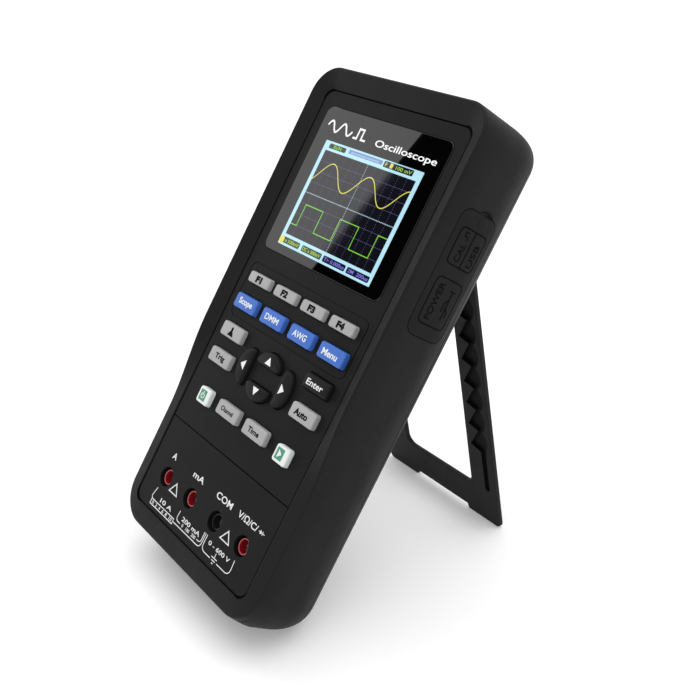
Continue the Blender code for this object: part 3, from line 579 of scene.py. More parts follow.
# ------------------------------------------------------------------ rear shell
REC_Y = HINGE_Y - 1.4
STAND_LEN, STAND_FOOT, STAND_WIN, STAND_OUT, STAND_INN = 126.2, 124.0, 109.8, 36.7, 21.4
rl = [case_loop(31.0, 8.4, 7.2), case_loop(29.8, 6.6, 8.0), case_loop(SPLIT + 0.3, dS + WALL + 0.1, rear_r(dS) - WALL), *outer_loops([SPLIT + 0.3], 0.12)]
rl += outer_loops([SPLIT + 0.45] + arc_depths(A_REAR, 89.0, 26)[1:] + [DEPTH])
rear = loft("rear_shell", rl, "case")
lt, fz, wz = HINGE_Z + 3.6, HINGE_Z - STAND_LEN - 1.7, HINGE_Z - STAND_WIN + 0.4
so, si = STAND_OUT + 0.5, STAND_INN - 0.4
u_shape = [(-so, fz), (so, fz), (so, lt), (si, lt), (si, wz + 4), (si - 4, wz), (-si + 4, wz), (-si, wz + 4), (-si, lt), (-so, lt)]
cut(rear, loft("c6", [at_y(u_shape, y) for y in (REC_Y, 43.0)]))
for sgn in (-1, 1):
    a, b = sorted((sgn * si, sgn * so))
    cut(rear, loft("c7", [at_z([(a + .01, 32.6), (b - .01, 32.6), (b - .01, 42), (a + .01, 42)], z) for z in (HINGE_Z - 4, HINGE_Z + 3.59)]))
DOOR = (-18.9, 18.9, 48.0, 144.0)
cut(rear, loft("c8", [at_y(round_rect(DOOR[0] - .3, DOOR[1] + .3, DOOR[2] - .3, DOOR[3] + .3, 3.0, 8), y) for y in (37.3, 43.0)]))
cut(rear, loft("c9", [at_y(round_rect(-18.6, 18.6, 51.0, 129.0, 2.0, 4), y) for y in (30.0, 38.0)]))
cut(rear, loft("c10", [at_y(circle(0, 137.0, 1.35, 24), y) for y in (30.0, 38.0)]))
SCREWS = {"upper_left": (-30, 170), "upper_right": (30, 170), "lower_left": (-30, 15.5), "lower_right": (30, 15.5)}
for x, z in SCREWS.values():
    cut(rear, loft("c11", [at_y(circle(x, z, r, 32), y) for r, y in ((1.7, 29.0), (1.7, 35.6), (3.1, 35.6), (3.1, 42.0))]))
# finger scoop below the folded stand's bar
cut(rear, loft("c12", [at_x(circle(45.0, 25.0, 8.5, 64), x) for x in (-9.0, 9.0)]))
bevel(rear, 0.3, 2, 50)
weighted(rear)
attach(rear, "case")
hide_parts("rear_case")

# ------------------------------------------------------------------ keys
KEYS = {
    "key_f1": (-26.5, 111.9, 13.9, 4.6, "key_grey"), "key_f2": (-8.85, 111.9, 13.9, 4.6, "key_grey"),
    "key_f3": (8.85, 111.9, 13.9, 4.6, "key_grey"), "key_f4": (26.5, 111.9, 13.9, 4.6, "key_grey"),
    "key_scope": (-28.0, 101.4, 14.3, 6.2, "key_blue"), "key_dmm": (-9.35, 101.4, 14.3, 6.2, "key_blue"),
    "key_generator": (9.35, 101.4, 14.3, 6.2, "key_blue"), "key_menu": (28.0, 101.4, 14.3, 6.2, "key_blue"),
    "key_measure": (-28.0, 89.2, 14.3, 6.0, "key_grey"), "key_enter": (28.0, 89.4, 14.7, 6.0, "key_black"),
    "key_trigger": (-28.0, 78.1, 14.3, 6.0, "key_grey"), "key_auto": (28.4, 78.0, 14.3, 6.0, "key_grey"),
    "key_power": (-26.6, 62.0, 7.9, 6.8, "key_white"), "key_channel": (-9.4, 62.6, 14.3, 6.0, "key_grey"),
    "key_time": (9.4, 62.6, 14.3, 6.0, "key_grey"), "key_run": (27.6, 61.9, 7.9, 6.8, "key_white"),
}
PAD_C = (0.0, 81.2)
ARROWS = {"key_up": (0, 1), "key_down": (0, -1), "key_left": (-1, 0), "key_right": (1, 0)}
KEY_TOP, KEY_FLANGE = -1.65, 3.2


def smooth_loop(pts, n):
    """Closed Catmull-Rom through pts, n points in all."""
    m = len(pts)
    out = []
    for k in range(n):
        t = k * m / n
        i = int(t)
        u = t - i
        p0, p1, p2, p3 = (Vector(pts[(i + j - 1) % m]) for j in range(4))
        out.append(tuple(0.5 * ((2 * p1) + (p2 - p0) * u + (2 * p0 - 5 * p1 + 4 * p2 - p3) * u * u + (3 * p1 - p0 - 3 * p2 + p3) * u ** 3)))
    return out


def arrow_loop(sx, sz, grow, n=14):
    pts = []
    if sx:
        half, inner, outer, bow = 7.4 + grow, 9.9 - grow, 14.4 + grow, 2.7
        ends = lambda t: (outer + bow * (1 - t * t) - 1.2 * abs(t) ** 6, (half - 0.2) * t)
        mk = lambda a, b: (PAD_C[0] + sx * a, PAD_C[1] + b)
    else:
        half, inner, outer, bow = 7.3 + grow, 3.6 - grow, 7.0 + grow, 2.7
        ends = lambda t: (outer + bow * (1 - t * t) - 1.2 * abs(t) ** 6, (half - 0.2) * t)
        mk = lambda a, b: (PAD_C[0] + b, PAD_C[1] + sz * a)
    raw = [(inner, -half + 1.6), (inner + 0.25, -half + 0.6), (inner + 1.0, -half + 0.05)]
    raw += [ends(-1 + 2 * i / n) for i in range(n + 1)]
    raw += [(inner + 1.0, half - 0.05), (inner + 0.25, half - 0.6), (inner, half - 1.6)]
    loop = [mk(a, b) for a, b in raw]
    return loop


def key_outline(name, grow):
    if name in ARROWS:
        return arrow_loop(*ARROWS[name], grow)
    cx, cz, w, h, _ = KEYS[name]
    return round_rect(cx - w / 2 - grow, cx + w / 2 + grow, cz - h / 2 - grow, cz + h / 2 + grow, 1.15 + grow, 8)


for k in list(KEYS) + list(ARROWS):
    mat = KEYS[k][4] if k in KEYS else "key_black"
    T = KEY_TOP
    prof = [(0.70, KEY_FLANGE + 0.8), (0.70, KEY_FLANGE), (0.0, KEY_FLANGE), (0.0, 0.8), (-0.10, T + 0.62), (-0.16, T + 0.36), (-0.28, T + 0.17), (-0.46, T + 0.05), (-0.72, T)]
    if mat == "key_black":
        prof = prof[:4] + [(-0.06, T + 1.1), (-0.15, T + 0.78), (-0.30, T + 0.48), (-0.50, T + 0.26), (-0.74, T + 0.09), (-1.0, T)]
    if k in ("key_up", "key_down"):
        prof = [(g if g > 0 else 0.5 * g, y) for g, y in prof]
    ob = loft(k + "_cap", [at_y(key_outline(k, g), y) for g, y in prof], mat, k, smooth=50)
    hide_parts(k)

# legends on the keys
TY = KEY_TOP
WEIGHT = {"key_f1": 0.075, "key_f2": 0.065, "key_f3": 0.065, "key_f4": 0.065, "key_auto": 0.045, "key_trigger": 0.034, "key_time": 0.030, "key_channel": 0.026, "key_enter": 0.016,
          "key_dmm": 0.010, "key_generator": 0.018, "key_menu": 0.022, "key_scope": 0.024}
for k, s, x0, x1, z, cap, ink_ in (
    ("key_f1", "F1", -28.4, -24.5, 110.75, 2.25, "black_ink"), ("key_f2", "F2", -11.0, -6.9, 110.8, 2.25, "black_ink"),
    ("key_f3", "F3", 6.4, 10.6, 110.8, 2.25, "black_ink"), ("key_f4", "F4", 24.0, 28.3, 110.7, 2.25, "black_ink"),
    ("key_scope", "Scope", -32.2, -23.2, 100.6, 2.3, "white_ink"), ("key_dmm", "DMM", -13.6, -5.0, 100.3, 2.3, "white_ink"),
    ("key_generator", "AWG", 4.9, 13.1, 100.3, 2.3, "white_ink"), ("key_menu", "Menu", 23.3, 31.9, 100.1, 2.3, "white_ink"),
    ("key_enter", "Enter", 23.0, 32.4, 88.2, 2.2, "white_ink"), ("key_auto", "Auto", 24.0, 31.8, 76.9, 2.2, "black_ink"),
    ("key_trigger", "Trig", -31.0, -24.4, 77.3, 2.0, "black_ink"), ("key_channel", "Channel", -13.6, -5.4, 61.9, 1.7, "black_ink"),
    ("key_time", "Time", 5.7, 12.9, 61.6, 2.0, "black_ink"),
):
    label("legend_" + k, s, x0, x1, z, cap, TY, ink_, k, WEIGHT.get(k, 0.030))
C = PAD_C
for k, tri in (
    ("key_up", [(-1.9, 86.0), (1.9, 86.0), (0.0, 89.0)]), ("key_down", [(-1.9, 76.6), (0.0, 73.6), (1.9, 76.6)]),
    ("key_left", [(-11.9, 79.2), (-11.9, 83.2), (-14.6, 81.2)]), ("key_right", [(11.9, 79.2), (14.6, 81.2), (11.9, 83.2)]),
):
    slab("legend_" + k, [tri], TY - 0.03, 0.06, "white_ink", k)
# a probe-and-line glyph on the measure key
slab("legend_key_measure", [[(-28.35, 91.0), (-27.65, 91.0), (-27.4, 90.4), (-27.4, 89.3), (-26.7, 88.5), (-26.1, 87.3), (-29.9, 87.3), (-29.3, 88.5), (-28.6, 89.3), (-28.6, 90.4)]],
     TY - 0.03, 0.06, "black_ink", "key_measure")
# green fields with a generic on symbol and a start symbol
for k, cx, cz in (("key_power", -27.05, 62.05), ("key_run", 27.05, 61.95)):
    slab("field_" + k, [round_rect(cx - 2.1, cx + 2.1, cz - 2.2, cz + 2.2, 0.25, 3)], TY - 0.025, 0.05, "green_ink", k)
ring = []
for i in range(20):
    a0, a1 = math.radians(125 + 290 * i / 20), math.radians(125 + 290 * (i + 1) / 20)
    ring.append([(-27.05 + r * math.cos(a), 61.9 + r * math.sin(a)) for r, a in ((1.2, a0), (1.2, a1), (0.85, a1), (0.85, a0))])
ring.append([(-27.25, 62.0), (-26.85, 62.0), (-26.85, 63.6), (-27.25, 63.6)])
slab("legend_key_power", ring, TY - 0.06, 0.06, "white_ink", "key_power")
slab("legend_key_run", [[(26.1, 60.4), (28.2, 61.95), (26.1, 63.5)]] , TY - 0.06, 0.06, "white_ink", "key_run")

# ------------------------------------------------------------------ faceplate and jack panel
px0, px1, pz0, pz1 = PANEL[0] + 0.3, PANEL[1] - 0.3, PANEL[2] + 0.3, PANEL[3] - 0.3
pr_ = PANEL_R - 0.3


def half_rr(z0, z1, top, n=10):
    rr = round_rect(px0, px1, z0, z1, pr_, n)
    if top:
        return [(px0, z0), (px1, z0)] + rr[: 2 * (n + 1)]
    return [(px1, z1), (px0, z1)] + rr[2 * (n + 1):]


def paint_shade_on_cut_edges(ob):
    """Painted shade: the plate's cut edges get the near-black slot-1 material, so they look darker than its face."""
    for p in ob.data.polygons:
        q = DEV.inverted() @ p.center / MM
        edge_ = abs(q.x) > PANEL[1] - 0.6 or q.z < PANEL[2] + 0.6 or q.z > PANEL[3] - 0.6 or abs(q.z - 48.0) < 0.5
        if edge_ and abs((DEV.to_3x3().inverted() @ p.normal).y) < 0.5:
            p.material_index = 1


holes = [key_outline(k, 0.35) for k in list(KEYS) + list(ARROWS)]
holes.append(round_rect(LENS[0] - .2, LENS[1] + .2, LENS[2] - .2, LENS[3] + .2, 3.2, 8))
fp = fill_plate("faceplate", half_rr(48.2, pz1, True), holes, 0.35, 2.6, ["panel", "painted_shade_gap"])
# fine groove round the two rows of function keys
gr = loft("g1", [at_y(round_rect(-37.2, 37.2, 94.8, 117.9, 3.2, 10), y) for y in (0.0, 0.62)])
gr2 = loft("g2", [at_y(round_rect(-36.75, 36.75, 95.25, 117.45, 2.75, 10), y) for y in (-0.5, 1.0)])
cut(gr, gr2)
cut(fp, gr)
bevel(fp, 0.22, 2, 50)
paint_shade_on_cut_edges(fp)
weighted(fp)
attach(fp, "case")
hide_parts("front_panel")
JACK_Z, JACK_X, JACK_HOLE = 26.0, (-28.05, -9.35, 9.35, 28.05), 4.0
jp = fill_plate("socket_plate", half_rr(pz0, 47.8, False), [circle(x, JACK_Z, JACK_HOLE, 48) for x in JACK_X], 0.35, 2.6, ["panel", "painted_shade_gap"])
bevel(jp, 0.2, 3, 50)
paint_shade_on_cut_edges(jp)
weighted(jp)
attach(jp, "case")
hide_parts("jack_panel")
lens = loft("window", [at_y(round_rect(LENS[0] + g, LENS[1] - g, LENS[2] + g, LENS[3] - g, 3.0 - g * 0.5, 12), y) for g, y in ((0, 1.7), (0, 0.34), (0.06, 0.22), (0.25, 0.15), (0.45, 0.15), (0.8, 0.15))], "lens", "case", smooth=14)
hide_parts("display_lens")

# sockets
NAMES = ("amp", "milliamp", "common", "volt")
for x, tag in zip(JACK_X, NAMES):
    m1, m2 = ("black", "black") if tag == "common" else ("red", "red_painted_highlight")
    prof = [(3.2, 21.0), (3.2, 1.95), (3.14, 1.8), (3.02, 1.72), (2.82, 1.70), (2.68, 1.76), (2.6, 1.9), (2.6, 21.0)]
    ob = loft("socket_sleeve_" + tag, [at_y(circle(x, JACK_Z, r, 48), y) for r, y in prof], [m1, m2], ring=True)
    # painted highlight: the sleeve's front lip inside r 3.0 takes slot 1, the light pink material on the red sockets
    for p in ob.data.polygons:
        lc = DEV.inverted() @ p.center / MM
        if lc.y < 1.95 and math.hypot(lc.x - x, lc.z - JACK_Z) < 3.0:
            p.material_index = 1
    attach(ob, "case")
    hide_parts("jack_insulator_" + tag)
    ob = loft("socket_contact_" + tag, [at_y(circle(x, JACK_Z, r, 40), y) for r, y in ((2.48, 23.0), (2.48, 5.2), (2.40, 5.0), (2.12, 5.0), (2.03, 5.2), (2.03, 23.0))], "nickel", "case", ring=True)
    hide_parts("jack_contact_" + tag)

# ------------------------------------------------------------------ printing on the faceplate
PY = 0.35
label("label_amp", "A", -30.0, -27.1, 33.5, 2.5, PY, "white_ink", "case", 0.012)
label("label_milliamp", "mA", -13.4, -5.7, 33.5, 2.4, PY, "white_ink", "case", 0.012)
label("label_common", "COM", 4.1, 14.8, 33.5, 2.5, PY, "white_ink", "case", 0.012)
label("label_volt", "V/Ω/C/", 19.3, 31.9, 33.6, 2.4, PY, "white_ink", "case", 0.010)
slab("label_diode", [[(33.6, 35.6), (33.6, 34.0), (35.0, 34.8)], [(35.0, 35.6), (35.25, 35.6), (35.25, 34.0), (35.0, 34.0)], [(32.8, 34.92), (36.4, 34.92), (36.4, 34.68), (32.8, 34.68)]], PY - 0.03, 0.06, "white_ink", "case")


def tri_outline(cx, z0, z1, hw, w=0.34):
    o = [(cx - hw, z0), (cx + hw, z0), (cx, z1)]
    c = Vector(((o[0][0] + o[1][0] + o[2][0]) / 3, (o[0][1] + o[1][1] + o[2][1]) / 3))
    inn = [tuple(c + (Vector(p) - c) * 0.74) for p in o]
    return [[o[i], o[(i + 1) % 3], inn[(i + 1) % 3], inn[i]] for i in range(3)]


lines = []
lines += tri_outline(-20.0, 22.4, 27.1, 3.3)
lines += tri_outline(18.9, 22.6, 27.3, 3.4)
for pts in (
    [(-29.9, 20.2), (-31.0, 17.0), (-31.2, 16.2), (-30.8, 15.6), (-30.2, 15.3)],
    [(-12.2, 14.2), (6.2, 14.2), (7.4, 14.5), (8.0, 15.3), (8.2, 16.2), (8.2, 20.3)],
    [(-10.9, 19.6), (-11.2, 17.2), (-10.9, 16.2), (-10.2, 15.7), (-8.0, 15.6)],
    [(4.6, 15.8), (6.2, 15.8), (7.0, 16.2), (7.3, 17.0), (7.3, 20.3)],
    [(9.3, 20.3), (9.3, 16.4), (9.6, 15.2), (10.6, 14.5), (11.8, 14.3), (15.9, 14.3)],
    [(20.4, 14.3), (26.4, 14.3), (27.7, 14.6), (28.5, 15.5), (28.7, 16.6), (28.4, 20.3)],
    [(18.1, 17.2), (18.1, 15.4)], [(16.2, 15.3), (20.0, 15.3)], [(16.9, 14.3), (19.3, 14.3)], [(17.6, 13.3), (18.6, 13.3)],
    [(-30.5, 15.2), (-12.6, 15.2), (-12.6, 13.1), (-30.5, 13.1), (-30.5, 15.2)],
):
    lines += stroke(pts, 0.33)
slab("print_lines", lines, PY - 0.025, 0.05, "white_ink", "case")
label("label_rating_1", "10 A", -25.0, -16.2, 16.3, 1.7, PY, "white_ink", "case", 0.010)
label("label_rating_2", "200 mA", -8.0, 5.2, 17.0, 1.7, PY, "white_ink", "case", 0.010)
label("label_rating_3", "0 - 600 V", 11.6, 26.0, 17.8, 1.6, PY, "white_ink", "case", 0.010)
label("label_scale", "0  2  4  6  8  10", -29.4, -13.6, 13.55, 1.2, PY, "white_ink", "case", 0.006)
label("label_scale_b", "0   100   200", -6.6, 3.6, 15.1, 1.3, PY, "white_ink", "case", 0.006)

# ------------------------------------------------------------------ window graphics and the lit screen
LY = 0.15
# the window marks use the print material with a faint painted glow
wave = [(-31.6 + 15.2 * i / 40, 176.9 + 2.0 * math.sin(2 * math.pi * 2 * i / 40)) for i in range(41)]
slab("window_wave_mark", stroke(wave, 0.75), LY - 0.03, 0.05, "logo_ink", "case")
slab("window_square_mark", stroke([(-15.0, 175.0), (-12.8, 175.0), (-12.8, 178.8), (-10.2, 178.8), (-10.2, 175.0), (-7.6, 175.0)], 0.75), LY - 0.03, 0.05, "logo_ink", "case")
label("window_label", "Oscilloscope", -1.8, 31.8, 174.5, 2.5, LY, "logo_ink", "case", 0.010)

L = [LY - 0.02 * i for i in range(1, 8)]
slab("screen_border", [round_rect(-28.4, 28.4, 128.0, 171.2, 0.3, 2)], L[0], 0.05, "scr_border", "case")
slab("screen_field", [round_rect(-26.4, 26.4, 132.5, 167.5, 0.1, 1)], L[1], 0.05, "scr_black", "case")
GX0, GX1, GZ0, GZ1 = -26.4, 26.4, 132.5, 167.5
PX, PZ = 4.4, 4.375
solid, dash = [], []
for j in range(1, 8):
    if j != 4:
        z = GZ0 + PZ * j
        solid += stroke([(GX0, z), (GX1, z)], 0.13)
for i in range(1, 12):
    if i != 6:
        x = GX0 + PX * i
        for q in range(40):
            z = GZ0 + 0.875 * q
            dash.append([(x - 0.09, z + 0.22), (x + 0.09, z + 0.22), (x + 0.09, z + 0.62), (x - 0.09, z + 0.62)])
slab("screen_grid", solid + dash, L[2], 0.03, "scr_grid", "case")
axis = stroke([(GX0, 150.0), (GX1, 150.0)], 0.2)
for q in range(60):
    x = GX0 + 0.88 * (q + 0.5)
    axis.append([(x - 0.06, 149.75), (x + 0.06, 149.75), (x + 0.06, 150.25), (x - 0.06, 150.25)])
for q in range(48):
    z = GZ0 + 0.729 * (q + 0.5)
    axis.append([(-0.17, z - 0.18), (0.17, z - 0.18), (0.17, z + 0.18), (-0.17, z + 0.18)])
slab("screen_axes", axis, L[3], 0.03, "scr_axis", "case")
sine = [(GX0 + 52.8 * i / 180, 158.9 + 4.5 * math.cos(2 * math.pi * ((GX0 + 52.8 * i / 180) + 17.7) / 22.2)) for i in range(181)]
slab("screen_trace_sine", stroke(sine, 0.36), L[4], 0.03, "scr_yellow", "case")
sq = [(GX0, 136.8), (-22.5, 136.8), (-22.5, 145.5), (-11.4, 145.5), (-11.4, 136.8), (-0.7, 136.8), (-0.7, 145.5), (10.35, 145.5), (10.35, 136.8), (21.45, 136.8), (21.45, 145.5), (GX1, 145.5)]
slab("screen_trace_square", stroke(sq, 0.34), L[4], 0.03, "scr_green", "case")
slab("screen_tags_green", [round_rect(-25.3, -15.1, 168.5, 170.4, 0.5, 3), round_rect(-26.2, -15.4, 128.9, 131.3, 0.5, 3), round_rect(-13.8, -1.4, 128.9, 131.3, 0.5, 3)], L[1], 0.05, "scr_dkgreen", "case")
slab("screen_tags_navy", [round_rect(-0.2, 13.2, 128.9, 131.3, 0.5, 3), round_rect(14.2, 27.0, 128.9, 131.3, 0.5, 3), round_rect(7.4, 23.5, 168.5, 170.8, 0.4, 3)], L[1], 0.05, "scr_navy", "case")
slab("screen_memory_bar", [[(-13.2, 168.9), (6.5, 168.9), (6.5, 170.5), (-13.2, 170.5)]], L[1], 0.05, "scr_bar", "case")
slab("screen_memory_bar_lit", [[(-11.8, 169.2), (4.6, 169.2), (4.6, 169.9), (-11.8, 169.9)]], L[2], 0.04, "scr_bar2", "case")
slab("screen_channel_dots", [circle(-26.9, 129.9, 1.5, 20), round_rect(10.9, 12.4, 168.8, 170.6, 0.2, 2)], L[3], 0.04, "scr_yellow", "case")
SY = L[2]
label("screen_text_run", "RUN", -22.4, -17.8, 168.85, 1.2, SY, "scr_green", "case", 0.01, thick=0.03)
label("screen_text_f", "F", 8.3, 9.3, 168.95, 1.3, SY, "scr_yellow", "case", 0.01, thick=0.03)
label("screen_text_level", "100 mV", 14.2, 22.8, 168.95, 1.3, SY, "scr_lime", "case", 0.012, thick=0.03)
label("screen_text_ch1", "x 500mV", -24.9, -15.9, 129.45, 1.3, SY, "scr_lime", "case", 0.012, thick=0.03)
label("screen_text_ch2", "DC x 500mV", -13.2, -2.0, 129.45, 1.3, SY, "scr_lime", "case", 0.012, thick=0.03)
label("screen_text_trig", "T> 0.000us", 0.5, 12.6, 129.45, 1.3, SY, "scr_violet", "case", 0.012, thick=0.03)
label("screen_text_time", "2M  200us", 14.9, 26.4, 129.45, 1.3, SY, "scr_violet", "case", 0.012, thick=0.03)

# ------------------------------------------------------------------ side flap
flap = loft("side_flap", [at_x(flap_outline(0.0), x) for x in (44.0, 53.0)], "flap")
cut(flap, loft("s1", outer_loops(DRAFT_Y + arc_depths(0, A_SPLIT + 5, 12))), "INTERSECT")
cut(flap, loft("s2", outer_loops([0.5] + DRAFT_Y[1:] + arc_depths(0, A_SPLIT + 8, 12), 1.5)))
side_u = lambda y: WIDTH / 2 - inset_at(y)


def side_lines(name, paths, w, mat, thick=0.10, proud=0.05):
    """Raised lines on the flap's curved face; paths are in (depth, height)."""
    bm = bmesh.new()
    for path in paths:
        pts = []
        for a, b in zip(path, path[1:]):
            k = max(1, int((Vector(b) - Vector(a)).length / 1.2))
            pts += [tuple(Vector(a).lerp(Vector(b), i / k)) for i in range(k)]
        pts.append(path[-1])
        for q in stroke(pts, w):
            f = [bm.verts.new((side_u(p[0]) + proud, p[0], p[1])) for p in q]
            b_ = [bm.verts.new((side_u(p[0]) + proud - thick, p[0], p[1])) for p in q]
            bm.faces.new(f)
            bm.faces.new(b_)
            for i in range(4):
                bm.faces.new((f[i], f[(i + 1) % 4], b_[(i + 1) % 4], b_[i]))
    return finish_mesh(name, bm, mat, "port_cover")


# finger lip: a small dome at the flap's upper end
cut(flap, loft("s3", [at_x(circle(15.5, 163.4, r, 40), x) for r, x in ((2.6, 48.4), (2.6, 48.98), (2.35, 49.08), (1.9, 49.15), (1.1, 49.19), (0.4, 49.2))]), "UNION")
bevel(flap, 0.28, 3, 45)
weighted(flap)
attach(flap, "port_cover")
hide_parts("port_cover")
fr_low = round_rect(7.3, 21.4, 125.2, 142.2, 2.2, 5)
fr_up = round_rect(7.3, 21.2, 147.0, 160.2, 2.0, 5)
side_lines("flap_frames", [fr_low + [fr_low[0]], fr_up + [fr_up[0]], [(14.6, 147.0), (14.6, 160.2)]], 0.5, "relief")
label("flap_text_power", "POWER", 126.9, 140.6, 12.4, 2.7, 0, "relief", "port_cover", 0.01, side=True, thick=0.12, warp=side_u)
label("flap_text_usb", "USB", 148.4, 156.6, 19.6, 2.6, 0, "relief", "port_cover", 0.01, side=True, thick=0.12, warp=side_u)
label("flap_text_cal", "CAL", 148.4, 155.0, 12.8, 2.6, 0, "relief", "port_cover", 0.01, side=True, thick=0.12, warp=side_u)
side_lines("flap_glyphs", [[(17.4, 128.5), (17.4, 138.8)], [(15.9, 138.8), (18.9, 138.8)], [(15.9, 131.2), (15.9, 134.4), (17.4, 136.0)], [(18.9, 129.6), (18.9, 131.6), (17.4, 133.2)],
                           [(11.8, 156.2), (11.8, 157.4), (10.2, 157.4), (10.2, 158.8), (11.8, 158.8)]], 0.5, "relief")

# ------------------------------------------------------------------ kickstand
SLOPE = math.tan(STAND_OPEN - LEAN)
T0, T1 = -1.0, 1.3


def stand_loop(g, t, n=10):
    o, i = STAND_OUT - g, STAND_INN + g
    foot, bar = STAND_LEN - g + (t - T0) * SLOPE, STAND_FOOT - g
    win, r = STAND_WIN + g, 4.5
    corner = [(i - r * (1 - math.sin(a)), win - r * (1 - math.cos(a))) for a in (math.radians(90 - 90.0 * k / n) for k in range(n + 1))]
    pad = 17.4 + g
    rc = 2.2
    rf = [(o - rc * (1 - math.cos(a)), foot - rc * (1 - math.sin(a))) for a in (math.radians(90.0 * k / 6) for k in range(7))]
    lf = [(-x, s) for x, s in reversed(rf)]
    return [(o - 1.6, 0.0)] + rf + [(pad, foot), (pad - 0.7, bar), (-pad + 0.7, bar), (-pad, foot)] + lf + [(-o + 1.6, 0.0), (-i, 0.0)] + [(-x, s) for x, s in corner] + [(x, s) for x, s in reversed(corner)] + [(i, 0.0)]


def sp(g, t):
    return [(x, t, -s) for x, s in stand_loop(g, t)]


# painted shade: slot 1 is the darker pocket material, which the cutters below give to the cut faces of the tooth
# pockets and the rod bore
stand = loft("stand_frame", [sp(0.35, T0), sp(0.1, T0 + 0.1), sp(0.0, T0 + 0.35), sp(0.0, T1 - 0.7), sp(0.08, T1 - 0.43), sp(0.26, T1 - 0.19), sp(0.7, T1)], ["case", "pocket"], space=STAND, smooth=30)
for sgn in (-1, 1):
    a, b = sorted((sgn * STAND_INN, sgn * (STAND_OUT - 1.6)))
    k = loft("k", [[(x, 2.5 * math.cos(math.radians(10 * q)), 2.5 * math.sin(math.radians(10 * q))) for q in range(36)] for x in (a + 0.001, b - 0.001)], "case", space=STAND)
    cut(stand, k, "UNION")
    inner, outer = [], []
    for q in range(8):
        tip = 12.2 + 10.62 * q
        inner += [(29.2, tip - 9.2), (23.7, tip)]
        outer += [(31.6, tip - 9.4), (32.9, tip - 8.0), (33.6, tip - 6.4), (33.8, tip - 4.6), (33.6, tip - 2.6), (33.0, tip - 0.8)]
    inner += [(29.6, 88.2), (29.9, 107.6), (30.3, 108.2), (30.8, 108.5)]
    outer += [(32.6, 88.8), (32.6, 107.4), (32.3, 108.1), (31.7, 108.5)]
    shape = [(sgn * x, s) for x, s in inner] + [(sgn * x, s) for x, s in reversed(outer)]
    # this cutter carries the painted-shade pocket material onto the pocket walls
    cut(stand, loft("t", [[(x, t, -s) for x, s in shape] for t in (T0 - 2.0, T0 + 1.5)], "pocket", space=STAND))
cut(stand, loft("bo", [[(x, 1.12 * math.cos(math.radians(15 * q)), 1.12 * math.sin(math.radians(15 * q))) for q in range(24)] for x in (-40, 40)], "pocket", space=STAND))
bevel(stand, 0.16, 2, 50)
weighted(stand)
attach(stand, "kickstand")
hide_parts("kickstand")

# ------------------------------------------------------------------ top end: bay, coaxial connectors
bay_o = round_rect(-36.2, 36.2, 5.3, 25.7, 4.7, 12)
bay_i = round_rect(-35.0, 35.0, 6.5, 24.5, 3.5, 12)
bay_m = [tuple(Vector(a).lerp(Vector(b), 0.5)) for a, b in zip(bay_o, bay_i)]
bay = loft("top_bay", [at_z(bay_o, 185.2), at_z(bay_o, 198.0), at_z([tuple(Vector(a).lerp(Vector(b), 0.2)) for a, b in zip(bay_o, bay_i)], 198.2),
                       at_z([tuple(Vector(a).lerp(Vector(b), 0.8)) for a, b in zip(bay_o, bay_i)], 198.2), at_z(bay_i, 198.0), at_z(bay_i, 187.0)], "panel")
BX, BYC = (-23.5, 0.0, 23.5), 15.5
for x in BX:
    cut(bay, loft("h", [at_z(circle(x, BYC, 4.75, 40), z) for z in (183.0, 189.0)]))
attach(bay, "case")
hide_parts("connector_bay")
for i, x in enumerate(BX, 1):
    prof = [(3.9, 184.0), (4.5, 184.0), (4.5, 187.3), (6.2, 187.3), (6.4, 187.5), (6.4, 188.8), (6.2, 189.0), (5.2, 189.3), (4.8, 189.6), (4.8, 191.8), (4.62, 192.0), (4.62, 192.5), (4.8, 192.7),
            (4.8, 197.9), (4.7, 198.2), (4.5, 198.4), (4.2, 198.4), (4.05, 198.2), (4.05, 189.0), (3.9, 189.0)]
    b = loft("coax_shell_%d" % i, [at_z(circle(x, BYC, r, 48), z) for r, z in prof], "nickel", ring=True)
    lug = loft("l", [at_x(circle(BYC, 195.6, 0.95, 20), lx) for lx in (x - 5.6, x + 5.6)], "nickel")
    cut(lug, loft("lc", [at_z(circle(x, BYC, 4.3, 40), z) for z in (194.0, 197.2)]))
    cut(b, lug, "UNION")
    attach(b, "case")
    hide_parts("bnc_body_%d" % i)
    ins = loft("coax_core_%d" % i, [at_z(circle(x, BYC, r, 40), z) for r, z in ((3.6, 183.4), (3.6, 189.6), (2.4, 189.6), (2.4, 195.8), (2.25, 196.0), (0.95, 196.0), (0.75, 195.8), (0.75, 190.5))], "ptfe", "case")
    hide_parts("bnc_insulator_%d" % i)

# ------------------------------------------------------------------ battery door and screws
door = loft("back_door", [at_y(round_rect(DOOR[0] + g, DOOR[1] - g, DOOR[2] + g, DOOR[3] - g, 2.8 - g * 0.5, 10), y) for g, y in ((0, 37.6), (0, 39.4), (0.12, 39.68), (0.4, 39.8))], "case")
cut(door, loft("d", [at_y(circle(0, 137.0, r, 36), y) for r, y in ((1.35, 36.0), (1.35, 38.5), (2.6, 38.5), (2.6, 41.0))]))
for q in range(5):
    z = 54.0 + 2.2 * q
    cut(door, loft("r", [at_y(round_rect(-8.0 + 0.6 * abs(q - 2), 8.0 - 0.6 * abs(q - 2), z - 0.5, z + 0.5, 0.49, 6), y) for y in (39.3, 41.0)]))
bevel(door, 0.15, 2, 50)
weighted(door)
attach(door, "case")
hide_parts("battery_door")


